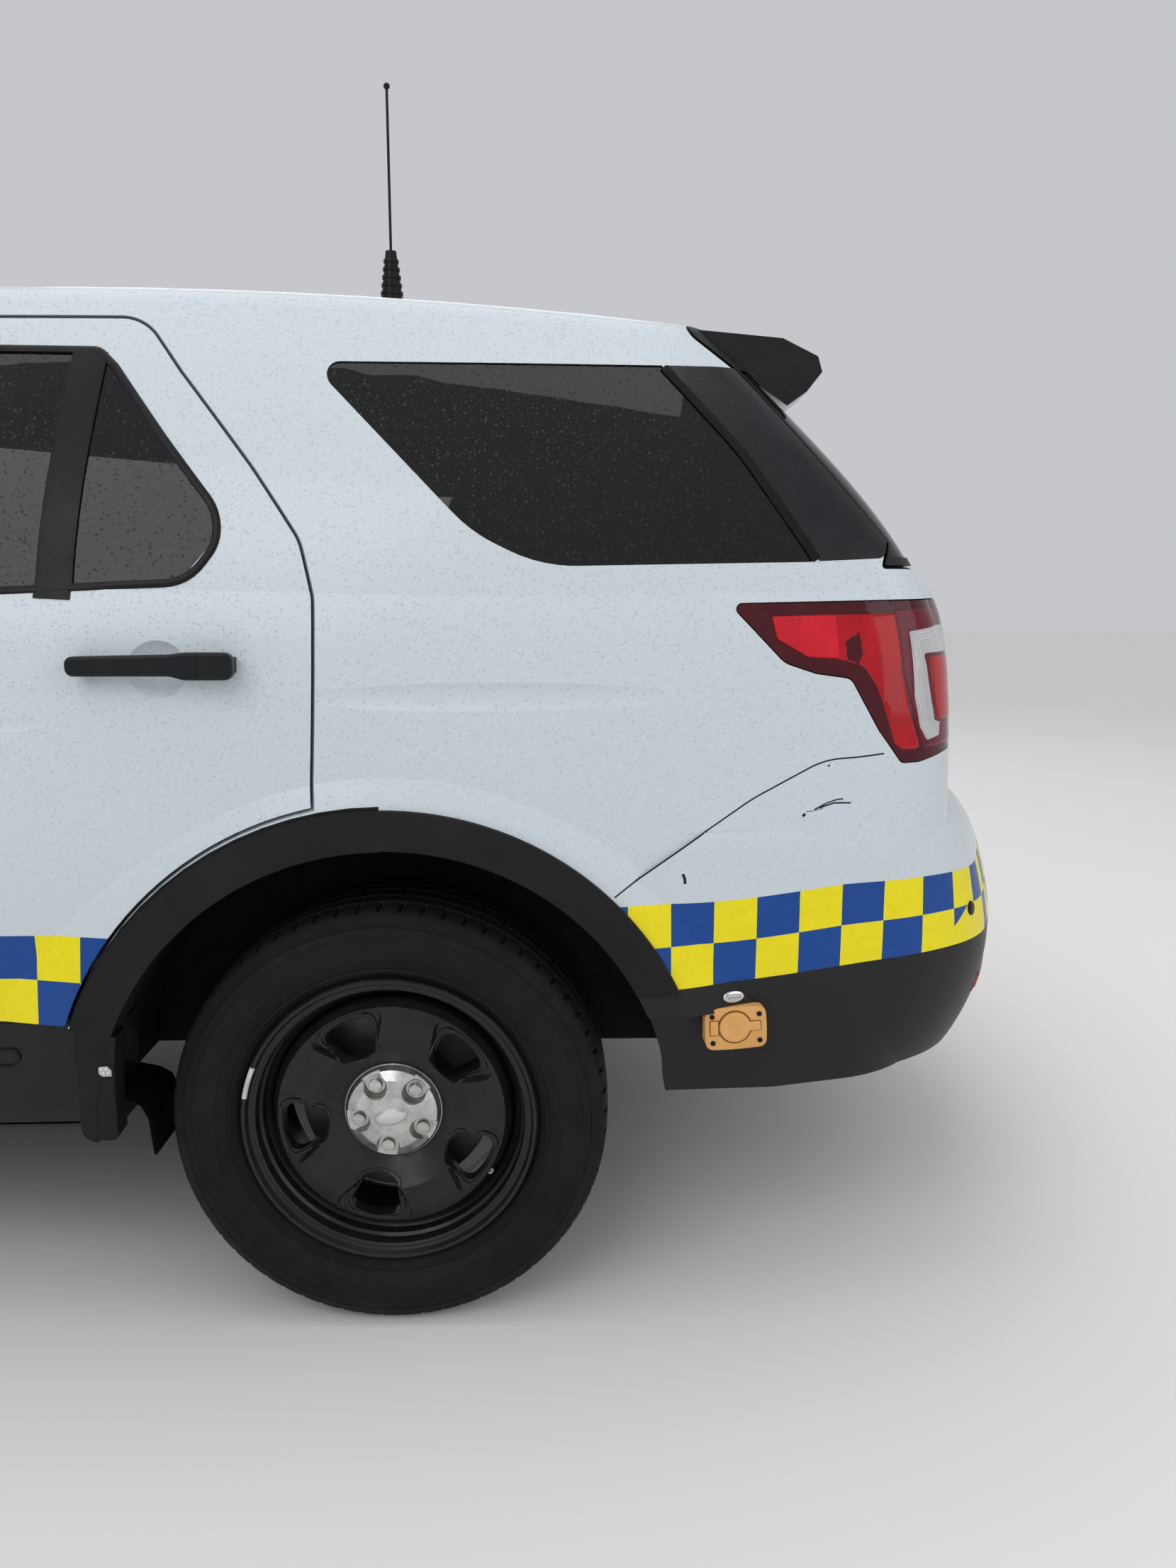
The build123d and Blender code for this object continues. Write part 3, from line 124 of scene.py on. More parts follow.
class Graph:
    """Small helper that adds nodes to one material and links them."""

    def __init__(self, name: str) -> None:
        """Start an empty material with one surface shader.

        Args:
            name: The material's name.
        """
        self.material = bpy.data.materials.new(name)
        self.material.use_nodes = True
        self.tree = self.material.node_tree
        self.tree.nodes.clear()
        self.out = self.tree.nodes.new("ShaderNodeOutputMaterial")
        self.shader = self.tree.nodes.new("ShaderNodeBsdfPrincipled")
        self.link(self.shader.outputs[0], self.out.inputs["Surface"])
        self._coords: Socket | None = None
        self._axes: dict[str, Socket] = {}

    def link(self, source: Socket, target: Socket) -> None:
        """Join two sockets."""
        self.tree.links.new(source, target)

    def node(self, kind: str, **values: object) -> bpy.types.Node:
        """Add a node and set its plain attributes.

        Args:
            kind: The node's type name.
            **values: Attributes of the node.

        Returns:
            The new node.
        """
        made = self.tree.nodes.new(kind)
        for key, value in values.items():
            setattr(made, key, value)
        return made

    def feed(self, node: bpy.types.Node, slot: object, value: object) -> None:
        """Set or link one input of a node.

        Args:
            node: The node that takes the value.
            slot: The input's name or number.
            value: A socket to link, or a number or colour to set.
        """
        target = node.inputs[slot]
        if isinstance(value, Socket):
            self.link(value, target)
        else:
            target.default_value = value

    def coords(self) -> Socket:
        """Object coordinates, which are the car's own metres at rest.

        Returns:
            The coordinates' socket.
        """
        if self._coords is None:
            self._coords = self.node("ShaderNodeTexCoord").outputs["Object"]
        return self._coords

    def axis(self, letter: str) -> Socket:
        """One object coordinate.

        Args:
            letter: X, Y or Z.

        Returns:
            The coordinate's socket.
        """
        if not self._axes:
            split = self.node("ShaderNodeSeparateXYZ")
            self.link(self.coords(), split.inputs[0])
            self._axes = {n: split.outputs[n] for n in "XYZ"}
        return self._axes[letter]

    def math(self, operation: str, *values: object) -> Socket:
        """Add a maths node.

        Args:
            operation: The node's operation.
            *values: Its inputs, numbers or sockets.

        Returns:
            The result's socket.
        """
        made = self.node("ShaderNodeMath", operation=operation)
        for i, value in enumerate(values):
            self.feed(made, i, value)
        return made.outputs[0]

    def between(self, value: object, low: float, high: float) -> Socket:
        """Compare a value with two limits.

        Args:
            value: A number or socket.
            low: Lower limit.
            high: Upper limit.

        Returns:
            1 where the value lies between them, otherwise 0.
        """
        above = self.math("GREATER_THAN", value, low)
        below = self.math("LESS_THAN", value, high)
        return self.math("MULTIPLY", above, below)

    def remap(self, value: object, from_low: float, from_high: float, to_low: float, to_high: float,
            curve: str = "LINEAR") -> Socket:
        """Clamp a value's range onto another range.

        Args:
            value: A number or socket.
            from_low: Start of its range.
            from_high: End of its range.
            to_low: Start of the new range.
            to_high: End of the new range.
            curve: How it runs from one end to the other.

        Returns:
            The new value's socket.
        """
        made = self.node("ShaderNodeMapRange", interpolation_type=curve)
        for i, item in enumerate((value, from_low, from_high, to_low, to_high)):
            self.feed(made, i, item)
        return made.outputs[0]

    def mix(self, factor: object, first: object, second: object) -> Socket:
        """Mix two colours.

        Args:
            factor: 0 for the first colour, 1 for the second.
            first: A colour or socket.
            second: A colour or socket.

        Returns:
            The mixed colour's socket.
        """
        made = self.node("ShaderNodeMix", data_type="RGBA")
        self.feed(made, 0, factor)
        for slot, value in ((6, first), (7, second)):
            if isinstance(value, tuple):
                value = (*value, 1.0)
            self.feed(made, slot, value)
        return made.outputs[2]

    def tint(self, colour: object, by: object) -> Socket:
        """Multiply a colour by a brightness.

        Args:
            colour: A colour socket.
            by: The brightness.

        Returns:
            The darker colour's socket.
        """
        made = self.node("ShaderNodeMix", data_type="RGBA", blend_type="MULTIPLY")
        for slot, value in ((0, 1.0), (6, colour), (7, by)):
            self.feed(made, slot, value)
        return made.outputs[2]

    def noise(self, scale: float, detail: float = 3.0, roughness: float = 0.5) -> Socket:
        """Noise over the object's own space.

        Args:
            scale: Grains per metre.
            detail: Finer layers that it adds.
            roughness: How strong those layers are.

        Returns:
            A value from 0 to 1.
        """
        made = self.node("ShaderNodeTexNoise")
        self.feed(made, "Vector", self.coords())
        self.feed(made, "Scale", scale)
        self.feed(made, "Detail", detail)
        self.feed(made, "Roughness", roughness)
        return made.outputs["Fac"]

    def bump(self, height: Socket, strength: float, distance: float, after: object = None) -> Socket:
        """Turn a height into a normal.

        Args:
            height: The height's socket.
            strength: How strongly it shows.
            distance: Its real height in metres.
            after: A normal that it adds to.

        Returns:
            The normal's socket.
        """
        made = self.node("ShaderNodeBump")
        self.feed(made, "Strength", strength)
        self.feed(made, "Distance", distance)
        self.feed(made, "Height", height)
        if after is not None:
            self.feed(made, "Normal", after)
        return made.outputs[0]

    def drops(self, scale: float, share: float, size: float) -> Socket:
        """Height of scattered rain drops.

        Args:
            scale: Cells per metre.
            share: Share of the cells that hold a drop.
            size: Drop radius as a share of the cell.

        Returns:
            A height from 0 to 1.
        """
        cells = self.node("ShaderNodeTexVoronoi", feature="F1")
        self.feed(cells, "Vector", self.coords())
        self.feed(cells, "Scale", scale)
        split = self.node("ShaderNodeSeparateColor")
        self.link(cells.outputs["Color"], split.inputs[0])
        present = self.math("LESS_THAN", split.outputs[0], share)
        radius = self.remap(split.outputs[1], 0.0, 1.0, size * 0.45, size)
        ratio = self.math("DIVIDE", cells.outputs["Distance"], radius)
        dome = self.math("SUBTRACT", 1.0, self.math("MULTIPLY", ratio, ratio))
        dome = self.math("SQRT", self.math("MAXIMUM", dome, 0.0))
        return self.math("MULTIPLY", dome, present)

    def set(self, **values: object) -> None:
        """Set or link the shader's own sockets.

        Args:
            **values: Sockets by name, with underscores for spaces.
        """
        for key, value in values.items():
            name = key.replace("_", " ")
            if isinstance(value, tuple) and len(value) == 3:
                value = (*value, 1.0)
            self.feed(self.shader, name, value)


# Finishes


class Film(Enum):
    """Where the blue and yellow squares lie."""

    NONE = "nowhere"
    DOORS = "along the doors and wings"
    BUMPER = "round the rear bumper"
    TAILGATE = "across the tailgate"


@dataclass(frozen=True)
class Chequer:
    """Rows of blue and yellow squares along a part of the body."""

    film: Film
    door_bottom: float = 0.543
    door_row: float = 0.0725
    door_square: float = 0.0755
    door_phase: float = 0.675
    bumper_phase: float = 1.7665
    bumper_square: float = 0.071
    gate_bottom: float = 0.685
    gate_square: float = 0.15
    gate_frame_z: float = 1.266
    door_face_y: float = 0.895
    corner_y: float = 0.91
    corner_reach: float = 0.167
    corner_stretch: float = 3.0
    # columns: place along the car from and to, value from and to
    bumper_seam: tuple[float, ...] = (1.78, 2.28, 0.588, 0.634)
    bumper_row: tuple[float, ...] = (2.05, 2.29, 0.07, 0.061)
    plain_foot_z: float = 0.6282
    plain_lean: float = 1.486
    plain_from: float = 2.208
    plain_to: float = 2.335

    def lay(self, g: Graph) -> Masks:
        """Work out the film's masks.

        Args:
            g: The material's graph.

        Returns:
            1 where the film lies, 1 where it is blue, and 1 where black cladding lies under it.
        """
        if self.film is Film.BUMPER:
            return self._bumper(g)
        if self.film is Film.TAILGATE:
            return self._gate(g)
        return self._doors(g)

    def _cells(self, g: Graph, along: object, up: object) -> Socket:
        """1 on the squares whose column and row add up to an odd number."""
        total = g.math("ADD", g.math("FLOOR", along), g.math("FLOOR", up))
        return g.math("FLOORED_MODULO", total, 2.0)

    def _doors(self, g: Graph) -> Masks:
        """Masks of the doors' two rows.

        Args:
            g: The material's graph.

        Returns:
            Film, blue and cladding masks.
        """
        along = g.math("DIVIDE", g.math("SUBTRACT", g.axis("X"), self.door_phase), self.door_square)
        up = g.math("DIVIDE", g.math("SUBTRACT", g.axis("Z"), self.door_bottom), self.door_row)
        outside = g.math("GREATER_THAN", g.math("ABSOLUTE", g.axis("Y")), self.door_face_y)
        film = g.math("MULTIPLY", g.between(up, 0.0, 2.0), outside)
        return film, self._cells(g, along, up), g.math("LESS_THAN", up, -0.03)

    def _bumper(self, g: Graph) -> Masks:
        """Masks of the bumper's two rows, which rise and turn the corner.

        Args:
            g: The material's graph.

        Returns:
            Film, blue and cladding masks.
        """
        reach = g.math("MAXIMUM", g.math("SUBTRACT", self.corner_y, g.math("ABSOLUTE", g.axis("Y"))), 0.0)
        turn = g.math("MINIMUM", reach, self.corner_reach)
        arc = g.math("MULTIPLY", g.math("MULTIPLY", turn, turn), self.corner_stretch)
        run = g.math("ADD", g.math("ADD", g.axis("X"), arc), g.math("SUBTRACT", reach, turn))
        seam = g.remap(g.axis("X"), *self.bumper_seam, "SMOOTHSTEP")
        tall = g.remap(g.axis("X"), *self.bumper_row)
        along = g.math("DIVIDE", g.math("SUBTRACT", run, self.bumper_phase), self.bumper_square)
        up = g.math("DIVIDE", g.math("SUBTRACT", g.axis("Z"), seam), tall)
        edge = g.math("ADD", g.math("MULTIPLY", g.math("SUBTRACT", g.axis("Z"), self.plain_foot_z),
            self.plain_lean), self.plain_from)
        plain = g.math("MULTIPLY", g.math("GREATER_THAN", run, edge), g.math("LESS_THAN", run,
            self.plain_to))
        blue = g.math("MULTIPLY", self._cells(g, along, up), g.math("SUBTRACT", 1.0, plain))
        return g.between(up, 0.0, 2.0), blue, g.math("LESS_THAN", up, 0.0)

    def _gate(self, g: Graph) -> Masks:
        """Masks of the tailgate's rows.

        Args:
            g: The material's graph.

        Returns:
            Film, blue and frame masks.
        """
        along = g.math("DIVIDE", g.math("ABSOLUTE", g.axis("Y")), self.gate_square)
        up = g.math("DIVIDE", g.math("SUBTRACT", g.axis("Z"), self.gate_bottom), self.gate_square)
        frame = g.math("GREATER_THAN", g.axis("Z"), self.gate_frame_z)
        return g.between(up, 1.0, 4.0), self._cells(g, along, up), frame


@dataclass(frozen=True)
class BodyPaint:
    """White gloss paint with rain drops, black wheel arches and cladding, and chequered film."""

    name: str
    film: Film = Film.NONE
    cladding_top: float = 0.0
    white: Colour = (0.565, 0.63, 0.672)
    blue: Colour = (0.0, 0.054, 0.27)
    yellow: Colour = (0.82, 0.7, 0.002)
    black: Colour = (0.008, 0.008, 0.009)
    arch_black: float = 0.521

    def build(self) -> Material:
        """Make the material.

        Returns:
            The finish.
        """
        g = Graph(self.name)
        cloud = g.noise(1.6, 2.0)
        colour = g.mix(g.remap(cloud, 0.0, 1.0, 0.0, 1.0), self.white, tuple(c * 0.965 for c in self.white))
        low = g.remap(g.axis("Z"), 0.5, 0.85, 0.1, 0.0)
        dust = g.math("MULTIPLY", low, g.noise(22.0, 5.0, 0.7))
        colour = g.mix(dust, colour, (0.36, 0.34, 0.3))
        rough: object = g.remap(g.noise(5.0, 2.0), 0.0, 1.0, 0.22, 0.3)
        along = g.math("SUBTRACT", g.math("ABSOLUTE", g.math("ADD", g.axis("X"), -WHEELBASE_MIDDLE_X)),
            HALF_WHEELBASE)
        up = g.math("SUBTRACT", g.axis("Z"), AXLE_Z)
        far = g.math("ADD", g.math("MULTIPLY", along, along), g.math("MULTIPLY", up, up))
        clad: object = g.math("LESS_THAN", far, self.arch_black**2)
        if self.film is not Film.NONE:
            film, blue, low = Chequer(self.film).lay(g)
            clad = g.math("MAXIMUM", clad, low)
            worn = g.remap(g.noise(60.0, 4.0, 0.6), 0.3, 0.7, 0.93, 1.0)
            squares = g.tint(g.mix(blue, self.yellow, self.blue), worn)
            colour = g.mix(film, colour, squares)
            rough = g.math("ADD", rough, g.math("MULTIPLY", film, 0.1))
        elif self.cladding_top:
            clad = g.math("MAXIMUM", clad, g.math("LESS_THAN", g.axis("Z"), self.cladding_top))
        drops = g.drops(150.0, 0.55, 0.34)
        small = g.drops(330.0, 0.35, 0.4)
        height = g.math("MAXIMUM", drops, g.math("MULTIPLY", small, 0.5))
        wet = g.remap(g.axis("Z"), 0.45, 1.1, 0.25, 1.0)
        height = g.math("MULTIPLY", height, wet)
        colour = g.mix(clad, colour, self.black)
        rough = g.math("MAXIMUM", rough, g.math("MULTIPLY", clad, 0.55))
        height = g.math("MULTIPLY", height, g.math("SUBTRACT", 1.0, clad))
        peel = g.bump(g.noise(380.0, 1.0), 0.04, 0.0004)
        g.set(Base_Color=colour, Roughness=rough, Metallic=0.0, IOR=1.5, Normal=g.bump(height, 0.8, 0.0015,
            peel), Coat_Weight=0.12, Coat_Roughness=0.05, Specular_IOR_Level=0.28)
        return g.material


@dataclass(frozen=True)
class WheelPaint:
    """Satin black wheel enamel, with a bright steel cap in the middle of each wheel."""

    name: str
    black: Colour = (0.006, 0.0065, 0.008)
    steel: Colour = (0.6, 0.6, 0.58)
    middle_x: float = WHEELBASE_MIDDLE_X
    half_base: float = HALF_WHEELBASE
    centre_z: float = AXLE_Z
    cap_radius: float = 0.082
    cap_y: float = 0.906

    def build(self) -> Material:
        """Make the material.

        Returns:
            The finish.
        """
        g = Graph(self.name)
        across = g.math("SUBTRACT", g.math("ABSOLUTE", g.math("SUBTRACT", g.axis("X"), self.middle_x)),
            self.half_base)
        rise = g.math("SUBTRACT", g.axis("Z"), self.centre_z)
        radius = g.math("SQRT", g.math("ADD", g.math("MULTIPLY", across, across), g.math("MULTIPLY", rise,
            rise)))
        cap = g.math("MULTIPLY", g.math("LESS_THAN", radius, self.cap_radius), g.math("GREATER_THAN",
            g.math("ABSOLUTE", g.axis("Y")), self.cap_y))
        patch = g.remap(g.noise(16.0, 4.0, 0.6), 0.4, 0.7, 0.0, 1.0)
        enamel = g.mix(patch, self.black, tuple(c * 1.7 for c in self.black))
        dull = g.mix(g.remap(g.noise(55.0, 5.0, 0.7), 0.4, 0.65, 0.0, 1.0), self.steel,
            tuple(c * 0.72 for c in self.steel))
        rough = g.remap(g.noise(40.0, 3.0), 0.3, 0.7, 0.24, 0.4)
        g.set(Base_Color=g.mix(cap, enamel, dull), Metallic=cap, Roughness=rough, IOR=1.5,
            Normal=g.bump(g.noise(420.0, 2.0), 0.12, 0.0003), Specular_IOR_Level=0.35)
        return g.material


@dataclass(frozen=True)
class Plastic:
    """Moulded plastic with a fine grain and faint wear."""

    name: str
    colour: Colour
    roughness: float = 0.5
    grain: Grain = Grain.FINE
    depth: float = 0.00012
    worn: Colour | None = None

    def build(self) -> Material:
        """Make the material.

        Returns:
            The finish.
        """
        g = Graph(self.name)
        faded = self.worn or tuple(min(c * 1.5 + 0.002, 1.0) for c in self.colour)
        patch = g.remap(g.noise(9.0, 4.0, 0.6), 0.45, 0.75, 0.0, 0.5)
        g.set(Base_Color=g.mix(patch, self.colour, faded), Roughness=g.remap(g.noise(30.0, 3.0), 0.3, 0.7,
            self.roughness - 0.06, self.roughness + 0.06), Normal=g.bump(g.noise(self.grain.value, 2.0),
            0.5, self.depth), IOR=1.46, Specular_IOR_Level=0.22)
        return g.material


@dataclass(frozen=True)
class GlossPlastic:
    """Smooth plastic under a clear coat, with a few rain drops."""

    name: str
    colour: Colour
    roughness: float = 0.12
    wet: bool = True
    ribs: float = 0.0

    def build(self) -> Material:
        """Make the material.

        Returns:
            The finish.
        """
        g = Graph(self.name)
        lift = tuple(min(c * 1.25 + 0.002, 1.0) for c in self.colour)
        g.set(Base_Color=g.mix(g.remap(g.noise(14.0), 0.4, 0.7, 0.0, 1.0), self.colour, lift),
            Roughness=g.remap(g.noise(20.0), 0.3, 0.7, self.roughness, self.roughness + 0.06),
            Coat_Weight=0.15, Coat_Roughness=0.04, IOR=1.5, Specular_IOR_Level=0.28)
        normal: object = None
        if self.ribs:
            wave = g.node("ShaderNodeTexWave", wave_type="BANDS", bands_direction="Z")
            g.feed(wave, "Vector", g.coords())
            g.feed(wave, "Scale", self.ribs)
            normal = g.bump(wave.outputs["Fac"], 0.5, 0.0008)
        if self.wet:
            normal = g.bump(g.drops(160.0, 0.45, 0.36), 0.5, 0.001, normal)
        if normal is not None:
            g.set(Normal=normal)
        return g.material


@dataclass(frozen=True)
class TintedGlass:
    """Dark tinted window glass with rain drops."""

    name: str
    tint: Colour = (0.03, 0.034, 0.038)
    wet: bool = True

    def build(self) -> Material:
        """Make the material.

        Returns:
            The finish.
        """
        g = Graph(self.name)
        g.set(Base_Color=g.mix(g.noise(3.0), self.tint, tuple(c * 0.85 for c in self.tint)),
            Roughness=g.remap(g.noise(12.0), 0.3, 0.7, 0.0, 0.02), IOR=1.45, Transmission_Weight=1.0)
        if self.wet:
            big = g.drops(120.0, 0.45, 0.33)
            small = g.drops(260.0, 0.4, 0.38)
            height = g.math("MAXIMUM", big, g.math("MULTIPLY", small, 0.5))
            g.set(Normal=g.bump(height, 0.6, 0.0012))
        return g.material


@dataclass(frozen=True)
class Metal:
    """Brushed, cast or painted metal."""

    name: str
    colour: Colour
    roughness: float = 0.3
    metallic: float = 1.0
    brush: float = 0.0
    rust: float = 0.0

    def build(self) -> Material:
        """Make the material.

        Returns:
            The finish.
        """
        g = Graph(self.name)
        dull = tuple(c * 0.8 for c in self.colour)
        colour = g.mix(g.remap(g.noise(25.0, 4.0), 0.35, 0.65, 0.0, 1.0), self.colour, dull)
        if self.rust:
            spots = g.remap(g.noise(40.0, 6.0, 0.75), 0.58, 0.66, 0.0, self.rust)
            colour = g.mix(spots, colour, (0.16, 0.06, 0.02))
        g.set(Base_Color=colour, Metallic=self.metallic, Roughness=g.remap(g.noise(45.0, 3.0), 0.3, 0.7,
            self.roughness - 0.05, self.roughness + 0.08))
        fine = g.noise(self.brush or 500.0, 3.0)
        g.set(Normal=g.bump(fine, 0.25, 0.0002))
        return g.material


@dataclass(frozen=True)
class TyreRubber:
    """Dull black rubber, dusty where it has worn."""

    name: str
    colour: Colour = (0.007, 0.007, 0.008)

    def build(self) -> Material:
        """Make the material.

        Returns:
            The finish.
        """
        g = Graph(self.name)
        dust = g.remap(g.noise(7.0, 6.0, 0.7), 0.45, 0.75, 0.0, 0.55)
        g.set(Base_Color=g.mix(dust, self.colour, (0.016, 0.016, 0.016)), Roughness=g.remap(g.noise(35.0),
            0.3, 0.7, 0.62, 0.78), Normal=g.bump(g.noise(900.0, 3.0), 0.4, 0.0002), IOR=1.45,
            Specular_IOR_Level=0.2)
        return g.material


@dataclass(frozen=True)
class SeatCloth:
    """Woven seat cloth."""

    name: str
    colour: Colour = (0.03, 0.03, 0.034)

    def build(self) -> Material:
        """Make the material.

        Returns:
            The finish.
        """
        g = Graph(self.name)
        warp = g.node("ShaderNodeTexWave", wave_type="BANDS", bands_direction="X")
        weft = g.node("ShaderNodeTexWave", wave_type="BANDS", bands_direction="Z")
        for wave in (warp, weft):
            g.feed(wave, "Vector", g.coords())
            g.feed(wave, "Scale", 160.0)
        weave = g.math("MAXIMUM", warp.outputs["Fac"], weft.outputs["Fac"])
        g.set(Base_Color=g.mix(weave, self.colour, tuple(c * 1.8 for c in self.colour)),
            Roughness=g.remap(g.noise(50.0), 0.3, 0.7, 0.8, 0.95), Normal=g.bump(weave, 0.4, 0.0006),
            Sheen_Weight=0.2)
        return g.material


@dataclass(frozen=True)
class Studio:
    """Pale floor, backdrop, soft lights and the camera."""

    focal_px: float = 1661.0
    frame_height_px: float = 2212.0
    sensor_mm: float = 36.0
    eye: Point3 = (1.607, -2.788, 1.237)
    pitch_down_deg: float = 9.55
    yaw_deg: float = 0.76
    floor_size: float = 30.0
    light: Colour = (1.0, 1.0, 1.0)
    light_strength: float = 0.68
    backdrop: Colour = (0.56, 0.57, 0.59)
    # columns: name, place, what it faces, size in metres, power in watts
    softboxes: tuple = (("key_softbox", (-1.5, -6.5, 5.5), (1.0, 0.0, 0.7), 5.0, 150.0), ("fill_softbox",
        (6.5, -4.5, 3.0), (1.2, 0.0, 0.7), 4.0, 60.0), ("back_softbox", (0.0, 6.5, 5.0), (0.0, 0.0, 0.8),
        5.0, 85.0), ("top_softbox", (0.4, 0.0, 6.5), (0.4, 0.0, 0.0), 5.0, 85.0))

    def build(self) -> None:
        """Set up the view, the floor and the lights."""
        scene = bpy.context.scene
        scene.view_settings.view_transform = "Standard"
        self._camera(scene)
        self._floor()
        self._world(scene)
        for softbox in self.softboxes:
            self._lamp(*softbox)

    def _camera(self, scene: bpy.types.Scene) -> None:
        """Place the camera where the photograph was taken.

        Args:
            scene: The scene that it looks at.
        """
        data = bpy.data.cameras.new("camera")
        data.sensor_fit = "AUTO"
        data.sensor_width = self.sensor_mm
        data.lens = self.focal_px / self.frame_height_px * self.sensor_mm
        data.clip_start = 0.05
        data.clip_end = 100.0
        camera = bpy.data.objects.new("camera", data)
        scene.collection.objects.link(camera)
        turn = turned(-self.yaw_deg)
        tip = turned(90.0 - self.pitch_down_deg, "X")
        camera.matrix_world = Matrix.Translation(self.eye) @ turn @ tip
        scene.camera = camera

    def _floor(self) -> None:
        """Lay the floor."""
        floor = MeshKit.plane("studio_floor", self.floor_size)
        g = Graph("pale_floor")
        shade = g.mix(g.noise(0.8), (0.8, 0.8, 0.8), (0.78, 0.78, 0.78))
        g.set(Base_Color=shade, Roughness=g.remap(g.noise(2.0), 0.3, 0.7, 0.85, 0.95))
        floor.data.materials.append(g.material)

    def _world(self, scene: bpy.types.Scene) -> None:
        """Surroundings that light the car in even white and are themselves seen as pale grey.

        Args:
            scene: The scene that takes them.
        """
        world = bpy.data.worlds.new("surround")
        scene.world = world
        world.use_nodes = True
        tree = world.node_tree
        tree.nodes.clear()
        kinds = ("OutputWorld", "LightPath", "Background", "Background", "Math", "Math", "MixShader")
        out, path, light, seen, direct, both, mix = [tree.nodes.new(f"ShaderNode{kind}") for kind in kinds]
        for node, colour, strength in ((light, self.light, self.light_strength),
                (seen, self.backdrop, 1.0)):
            node.inputs[0].default_value = (*colour, 1.0)
            node.inputs[1].default_value = strength
        for node in (direct, both):
            node.operation = "MAXIMUM"
        for source, node, slot in ((path.outputs["Is Camera Ray"], direct, 0),
                (path.outputs["Is Transmission Ray"], direct, 1), (direct.outputs[0], both, 0),
                (path.outputs["Is Glossy Ray"], both, 1), (both.outputs[0], mix, 0), (light.outputs[0], mix,
                1), (seen.outputs[0], mix, 2), (mix.outputs[0], out, 0)):
            tree.links.new(source, node.inputs[slot])

    @staticmethod
    def _lamp(name: str, place: Point3, target: Point3, size: float, power: float) -> None:
        """Hang one soft lamp.

        Args:
            name: Its name.
            place: Where it hangs.
            target: What it faces.
            size: Length of its edge.
            power: Its strength in watts.
        """
        data = bpy.data.lights.new(name, "AREA")
        data.shape = "SQUARE"
        data.size = size
        data.energy = power
        lamp = bpy.data.objects.new(name, data)
        bpy.context.scene.collection.objects.link(lamp)
        aim = Vector(target) - Vector(place)
        lamp.matrix_world = Matrix.Translation(place) @ aim.to_track_quat("-Z", "Y").to_matrix().to_4x4()


# Mesh making


class Face(Enum):
    """How two numbers name a point of the car's skin, and where its ray starts."""

    SIDE = "x and z, seen from the left"
    TAIL = "y and z, seen from behind"
    NOSE = "y and z, seen from the front"
    TOP = "x and y, seen from above"
    REAR_CORNER = "degrees from the left side towards the tail, and z"
    FRONT_CORNER = "degrees from the left side towards the nose, and z"

    @property
    def scale(self) -> float:
        """Metres to one unit of the first number."""
        return 0.0075 if self in (Face.REAR_CORNER, Face.FRONT_CORNER) else 1.0

    def ray(self, a: float, b: float) -> tuple[Vector, Vector]:
        """Start and direction of the ray through a named point.

        Args:
            a: First number.
            b: Second number.

        Returns:
            The ray's start and its unit direction.
        """
        if self is Face.SIDE:
            return Vector((a, -2.5, b)), Vector((0.0, 1.0, 0.0))
        if self is Face.TAIL:
            return Vector((4.0, a, b)), Vector((-1.0, 0.0, 0.0))
        if self is Face.NOSE:
            return Vector((-4.0, a, b)), Vector((1.0, 0.0, 0.0))
        if self is Face.TOP:
            return Vector((a, b, 4.0)), Vector((0.0, 0.0, -1.0))
        turn = math.radians(a)
        rear = self is Face.REAR_CORNER
        out = Vector((math.sin(turn) if rear else -math.sin(turn), -math.cos(turn), 0.0))
        middle = Vector((1.75 if rear else -1.85, -0.55, b))
        return middle + out * 2.0, -out


class Skin:
    """Places details on chosen frame nodes by casting rays onto them."""

    def __init__(self, nodes: dict, names: list[str]) -> None:
        """Join the nodes' triangles into one tree.

        Args:
            nodes: The frame's nodes by name.
            names: The nodes to cast onto.
        """
        points: list[Vector] = []
        faces: list[tuple[int, ...]] = []
        for name in names:
            mesh = nodes[name].data
            base = len(points)
            points += [v.co.copy() for v in mesh.vertices]
            faces += [tuple(i + base for i in p.vertices) for p in mesh.polygons]
        self.tree = BVHTree.FromPolygons(points, faces)

    def hit(self, face: Face, a: float, b: float) -> tuple[Vector, Vector]:
        """Point and outward normal of the skin at a named place.

        Args:
            face: How the place is named.
            a: First number.
            b: Second number.

        Returns:
            The point and its normal, towards the ray's start.
        """
        start, way = face.ray(a, b)
        place, normal, _, _ = self.tree.ray_cast(start, way)
        if place is None:
            place, normal, _, _ = self.tree.find_nearest(start + way * 1.5)
            LOG.warning("no skin at %s %.3f %.3f", face.name, a, b)
        if normal.dot(way) > 0:
            normal = -normal
        return place, normal.normalized()


